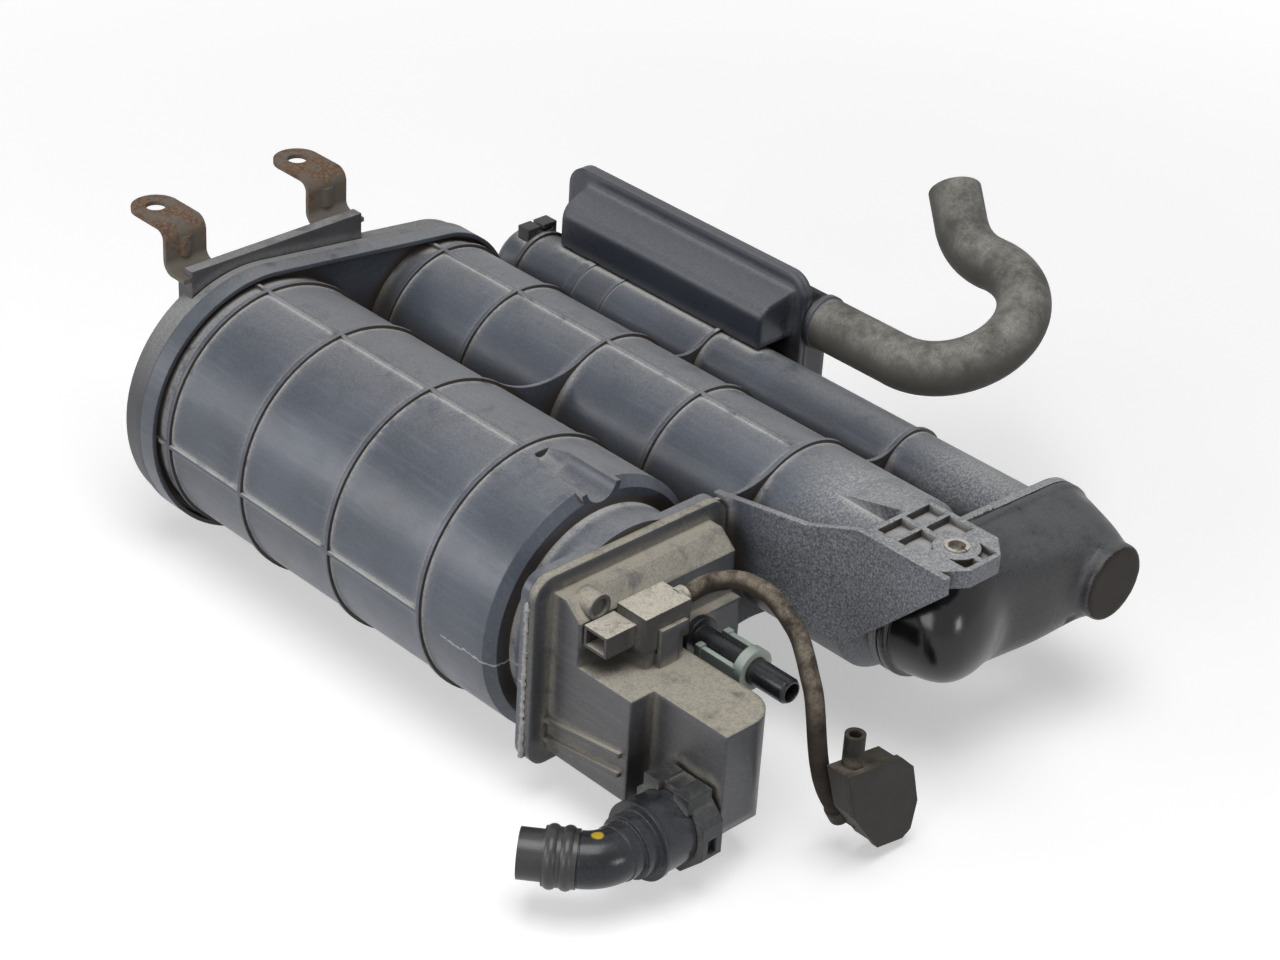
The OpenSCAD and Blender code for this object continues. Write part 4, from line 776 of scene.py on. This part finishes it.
@dataclass
class EndCap:
    """Black front cap: one blended form from the middle chamber's dome to the narrow one's disc.

    Its lengths and places are the source's millimetres, and sag_reach is a share of the dome's radius.
    """

    seam: float = -189.0
    flange: float = 4.0
    flange_margin: float = 0.8
    disc_centre: Pair = (167.5, 8.0)
    disc_radius: float = 17.0
    disc_margin: float = 1.2
    disc_back: float = -223.0
    disc_front: float = -229.0
    browned_depth: float = 0.6
    voxel: float = 0.9
    pull: float = 0.5
    rounds: int = 100
    rim_rounds: int = 6
    dome_centre: Pair = (88.0, 4.0)
    dome_radius: float = 27.0
    dome_depth: float = 18.0
    crown: float = 4.5
    sag: float = 3.5
    sag_reach: float = 1.8
    gate: Point = (151.0, -221.0, -6.1)
    gate_radius: float = 3.4
    gate_depth: float = 1.3
    dust_full: float = 130.0

    def loose(self, point: Vector) -> bool:
        """Tells whether a point lies on the blended form, clear of the flange and the end disc.

        Args:
            point: A point of the cap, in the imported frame.
        Returns:
            True where the form may flow.
        """
        place = measured(point)
        across = math.hypot(place.x - self.disc_centre[0], place.z - self.disc_centre[1])
        on_disc = across < self.disc_radius + self.disc_margin and place.y < self.disc_back
        return place.y < self.seam - self.flange - self.flange_margin and not on_disc

    def bulge(self, point: Vector) -> Vector:
        """Rounds the dome's front into a ball, with a valley between it and the narrow side.

        Args:
            point: A point of the cap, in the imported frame.
        Returns:
            How far the point moves.
        """
        place = measured(point)
        out = math.hypot(place.x - self.dome_centre[0], place.z - self.dome_centre[1]) / self.dome_radius
        fall = out ** 2 if out < 1 else max(0.0, (self.sag_reach - out) / (self.sag_reach - 1))
        rise = max(0.0, 1 - out ** 2)
        depth = min(1.0, max(0.0, (self.seam - self.flange - place.y) / self.dome_depth))
        return Vector((0, (self.sag * fall - self.crown * rise) * depth * MM, 0))

    def relax(self, form: bmesh.types.BMesh, verts: list[bmesh.types.BMVert], rounds: int) -> None:
        """Lets points of the cap flow towards their neighbours.

        Args:
            form: The cap's form.
            verts: The points that give way.
            rounds: How many times they do.
        """
        for _ in range(rounds):
            bmesh.ops.smooth_vert(form, verts=verts, factor=self.pull, use_axis_x=True, use_axis_y=True,
                                  use_axis_z=True)

    def remeshed(self) -> bpy.types.Object:
        """Copies the CAD cap and gives the copy a fine, even mesh.

        Returns:
            The copy.
        """
        cap = bpy.data.objects.new("blended_cap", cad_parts["end_cap"].data.copy())
        bpy.context.scene.collection.objects.link(cap)
        remesh = cap.modifiers.new("skin", "REMESH")
        remesh.mode = "VOXEL"
        remesh.voxel_size = self.voxel * MM
        bpy.context.view_layer.update()
        even = cap.evaluated_get(bpy.context.evaluated_depsgraph_get())
        mesh = bpy.data.meshes.new_from_object(even)
        cap.modifiers.clear()
        cap.data = mesh
        return cap

    def shape(self, mesh: bpy.types.Mesh) -> None:
        """Blends the cap's form, softens its disc and sinks the gate mark.

        Args:
            mesh: The cap's fine mesh.
        """
        form = bmesh.new()
        form.from_mesh(mesh)
        free = [v for v in form.verts if self.loose(v.co)]
        for vert in free:
            vert.co += self.bulge(vert.co)
        self.relax(form, free, self.rounds)
        self.relax(form, form.verts[:], 1)
        rim = [v for v in form.verts if along(v.co) < self.disc_back]
        self.relax(form, rim, self.rim_rounds)
        # The moulding gate leaves one small pit beside the disc.
        for vert in form.verts:
            near = (vert.co - at(*self.gate)).length / (self.gate_radius * MM)
            vert.co.y += self.gate_depth * MM * max(0.0, 1 - near ** 2)
        for face in form.faces:
            face.smooth = True
        form.to_mesh(mesh)
        form.free()

    def dress(self, mesh: bpy.types.Mesh) -> None:
        """Gives the cap black nylon, and browned nylon on the disc's face.

        Args:
            mesh: The cap's shaped mesh.
        """
        # Nylon, moulded: black and wet-looking on the clean dome, greyed by dust towards the disc.
        black = DustyPlastic("black_nylon", "#0f1012", 0.15, gloss=0.45, worn="#232427", soil=Soil.DUSTY,
                             dust="#66676a", dirt_and_shade="#161514",
                             drift=Drift(Axis.ACROSS, self.dome_centre[0], self.dust_full))
        # The same nylon on the disc's face: brown and matt.
        brown = DustyPlastic("browned_nylon", "#26221f", 0.5, gloss=0.15, worn="#332d27", soil=Soil.LIGHT,
                             dust="#6b6054")
        mesh.materials.clear()
        mesh.materials.append(black.build())
        mesh.materials.append(brown.build())
        for face in mesh.polygons:
            face.material_index = int(along(face.center) < self.disc_front + self.browned_depth)

    def build(self) -> bpy.types.Object:
        """Makes the cap in place of its CAD node.

        Returns:
            The cap.
        """
        cap = self.remeshed()
        self.shape(cap.data)
        self.dress(cap.data)
        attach(cap, "root")
        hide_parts("end_cap")
        return cap


@dataclass
class WeldFlash:
    """Ragged bead of melt squeezed out of a welded seam, in the source's millimetres."""

    name: str
    path: tuple[Point, ...]
    finish: Finish
    slot: str
    radius: float = 0.7
    step: float = 0.9
    sides: int = 7
    seed: int = 3
    # Shares of the radius: how a ring swells, tapers at the bead's ends, strays and is dented.
    SWELL: ClassVar[Pair] = (0.45, 1.35)
    TAPER: ClassVar[float] = 0.2
    STRAY: ClassVar[Pair] = (-0.25, 0.25)
    DENT: ClassVar[Pair] = (0.75, 1.2)

    @classmethod
    def on_housing(cls) -> "WeldFlash":
        """Plans the bead up the left edge of the housing's flange.

        Returns:
            The bead, not yet built.
        """
        # Nylon melt, torn as it set: light grey and dusty.
        finish = DustyPlastic("weld_flash_nylon", "#77787a", 0.35, worn="#a5a5a3", soil=Soil.DUSTY,
                              dust="#c4c3be")
        seam = ((-53.3, -116, -40), (-53.3, -116, 33))
        return cls("housing_flash", seam, finish, "housing_plastic", radius=1.1)

    @classmethod
    def on_cap(cls) -> "WeldFlash":
        """Plans the bead along the top of the cap's seam.

        Returns:
            The bead, not yet built.
        """
        # Nylon melt, crumbled: black and clean.
        finish = DustyPlastic("weld_crumb_nylon", "#17181a", 0.4, worn="#222325", soil=Soil.CLEAN)
        seam = ((112, -189, 38.6), (134, -189, 37.6))
        return cls("cap_flash", seam, finish, "cap_plastic", seed=5)

    def points(self) -> list[Vector]:
        """Divides the seam into short steps.

        Returns:
            The rings' centres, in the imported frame.
        """
        points: list[Vector] = []
        for a, b in zip(self.path, self.path[1:]):
            start, end = at(*a), at(*b)
            count = max(2, round((end - start).length / (self.step * MM)))
            points += [start.lerp(end, i / count) for i in range(count)]
        points.append(at(*self.path[-1]))
        return points

    def rings(self, form: bmesh.types.BMesh) -> list[list[bmesh.types.BMVert]]:
        """Sets a lumpy ring at each step of the seam.

        Args:
            form: The bead's form.
        Returns:
            The rings' points, from end to end.
        """
        chance = random.Random(self.seed)
        points = self.points()
        last = len(points) - 1
        rings = []
        for i, point in enumerate(points):
            heading = (points[min(i + 1, last)] - points[max(i - 1, 0)]).normalized()
            turn = heading.to_track_quat("Z", "Y")
            size = self.radius * MM * chance.uniform(*self.SWELL) * (self.TAPER if i in (0, last) else 1)
            stray = Vector((chance.uniform(*self.STRAY), chance.uniform(*self.STRAY), 0)) * self.radius * MM
            ring = []
            for k in range(self.sides):
                angle = 2 * math.pi * k / self.sides
                spoke = Vector((math.cos(angle), math.sin(angle), 0)) * size * chance.uniform(*self.DENT)
                ring.append(form.verts.new(point + turn @ (spoke + stray)))
            rings.append(ring)
        return rings

    def build(self) -> bpy.types.Object:
        """Skins the rings into one closed bead.

        Returns:
            The bead.
        """
        form = bmesh.new()
        rings = self.rings(form)
        for first, second in zip(rings, rings[1:]):
            for k in range(self.sides):
                n = (k + 1) % self.sides
                form.faces.new((first[k], first[n], second[n], second[k]))
        form.faces.new(rings[0][::-1])
        form.faces.new(rings[-1])
        bmesh.ops.recalc_face_normals(form, faces=form.faces[:])
        for face in form.faces:
            face.smooth = True
        mesh = bpy.data.meshes.new(self.name)
        form.to_mesh(mesh)
        form.free()
        bead = bpy.data.objects.new(self.name, mesh)
        bpy.context.scene.collection.objects.link(bead)
        mesh.materials.append(self.finish.build())
        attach(bead, "root")
        return bead


@dataclass(frozen=True)
class Lamp:
    """Soft square lamp, with its place and side in metres and its power in watts."""

    name: str
    place: Point
    side: float
    power: float

    def hang(self, aim: Vector) -> None:
        """Hangs the lamp.

        Args:
            aim: Point that it faces.
        """
        data = bpy.data.lights.new(self.name, "AREA")
        data.size = self.side
        data.energy = self.power
        lamp = bpy.data.objects.new(self.name, data)
        lamp.location = self.place
        lamp.rotation_mode = "QUATERNION"
        lamp.rotation_quaternion = (aim - Vector(self.place)).to_track_quat("-Z", "Y")
        bpy.context.scene.collection.objects.link(lamp)


@dataclass
class Studio:
    """Pale floor, soft lamps, even world light and the camera."""

    # The camera's place (the source's mm) and its three axes, then its lens and its film's width (mm).
    eye: Point = (-728.868, -830.734, 685.844)
    right: Point = (0.72088, -0.69085, 0.05520)
    up: Point = (0.32491, 0.40723, 0.85358)
    back: Point = (-0.61218, -0.59740, 0.51803)
    lens: float = 87.19
    film_width: float = 36.0
    # What the lamps face (the source's mm), and the side of the floor (m).
    aim: Point = (60.0, -20.0, 0.0)
    floor_size: float = 14.0
    # Distances (m) over which the floor runs out into plain white, and its glow and tone at each.
    FADE: ClassVar[Pair] = (0.3, 0.9)
    GLOW: ClassVar[Pair] = (0.42, 1.0)
    PAPER: ClassVar[Pair] = (0.72, 0.0)
    # Strength of the world's light, and of the white that shows behind the part and mirrored in it.
    AMBIENT: ClassVar[float] = 0.2
    WHITE: ClassVar[float] = 1.0
    # The low lamp at the rear left draws the sheen along the chambers.
    LAMPS: ClassVar[tuple[Lamp, ...]] = (
        Lamp("rear_left", (-1.8, 1.2, 0.8), 1.0, 15.0),
        Lamp("overhead", (-0.4, -0.4, 1.9), 1.2, 24.0),
        Lamp("left", (-2.2, -0.5, 0.8), 1.0, 11.0),
        Lamp("front", (0.1, -2.3, 0.5), 0.5, 6.0),
    )

    def camera(self) -> None:
        """Stands the camera where the photograph was taken from."""
        data = bpy.data.cameras.new("camera")
        data.lens = self.lens
        data.sensor_width = self.film_width
        camera = bpy.data.objects.new("camera", data)
        axes = Matrix((self.right, self.up, self.back)).transposed()
        camera.matrix_world = Matrix.Translation(at(*self.eye)) @ axes.to_4x4()
        bpy.context.scene.collection.objects.link(camera)
        bpy.context.scene.camera = camera

    def seen(self, tree: Tree) -> Socket:
        """Tells rays that show the background from those that only light the part.

        Args:
            tree: Tree of the floor or the world.
        Returns:
            1 for a ray from the camera, a reflection or a clear material, and 0 for others.
        """
        path = add(tree, "LightPath").outputs
        seen = add(tree, "Math", {0: path["Is Camera Ray"], 1: path["Is Glossy Ray"]}, operation="ADD")
        seen = add(tree, "Math", {0: seen.outputs[0], 1: path["Is Transmission Ray"]}, operation="ADD",
                   use_clamp=True)
        return seen.outputs[0]

    def paper(self) -> bpy.types.Material:
        """Makes matt white paper that takes the shadow near the part and is plain white further out.

        Returns:
            The floor's material.
        """
        material = bpy.data.materials.new("white_paper")
        material.use_nodes = True
        tree = material.node_tree
        tree.nodes.clear()
        place = add(tree, "TexCoord").outputs["Object"]
        away = add(tree, "VectorMath", {0: place}, operation="LENGTH").outputs["Value"]
        white = add(tree, "MapRange", {0: away, **span(*self.FADE, *self.GLOW)}, **SOFT).outputs[0]
        tone = add(tree, "MapRange", {0: away, **span(*self.FADE, *self.PAPER)}, **SOFT).outputs[0]
        lift = add(tree, "Math", {0: self.seen(tree), 1: white}, operation="MULTIPLY").outputs[0]
        paper = add(tree, "BsdfDiffuse", {"Color": tone})
        glow = add(tree, "Emission", {"Strength": lift})
        both = add(tree, "AddShader", {0: paper.outputs[0], 1: glow.outputs[0]})
        add(tree, "OutputMaterial", {"Surface": both.outputs[0]})
        return material

    def floor(self) -> None:
        """Lays the floor."""
        half = self.floor_size / 2
        corners = [(-half, -half, 0), (half, -half, 0), (half, half, 0), (-half, half, 0)]
        mesh = bpy.data.meshes.new("floor")
        mesh.from_pydata(corners, [], [(0, 1, 2, 3)])
        mesh.materials.append(self.paper())
        floor = bpy.data.objects.new("floor", mesh)
        bpy.context.scene.collection.objects.link(floor)

    def light(self) -> None:
        """Hangs the lamps and sets the world's even light."""
        for lamp in self.LAMPS:
            lamp.hang(at(*self.aim))
        world = bpy.data.worlds.new("studio")
        bpy.context.scene.world = world
        world.use_nodes = True
        tree = world.node_tree
        tree.nodes.clear()
        levels = span(0.0, 1.0, self.AMBIENT, self.WHITE)
        power = add(tree, "MapRange", {0: self.seen(tree), **levels})
        sky = add(tree, "Background", {"Strength": power.outputs[0]})
        add(tree, "OutputWorld", {"Surface": sky.outputs[0]})

    def build(self) -> None:
        """Builds the whole studio."""
        bpy.context.scene.view_settings.view_transform = "Standard"
        self.camera()
        self.floor()
        self.light()


def main() -> None:
    """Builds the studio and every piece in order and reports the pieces."""
    logging.basicConfig(level=logging.INFO, format="%(message)s")
    Studio().build()
    hose = SensorHose().build()
    Wardrobe().dress()
    cap = EndCap().build()
    beads = [flash.build() for flash in (WeldFlash.on_housing(), WeldFlash.on_cap())]
    for piece in (hose, cap, *beads):
        LOG.info("%s in %s", piece.name, ", ".join(m.name for m in piece.data.materials))


if __name__ == "__main__":
    main()
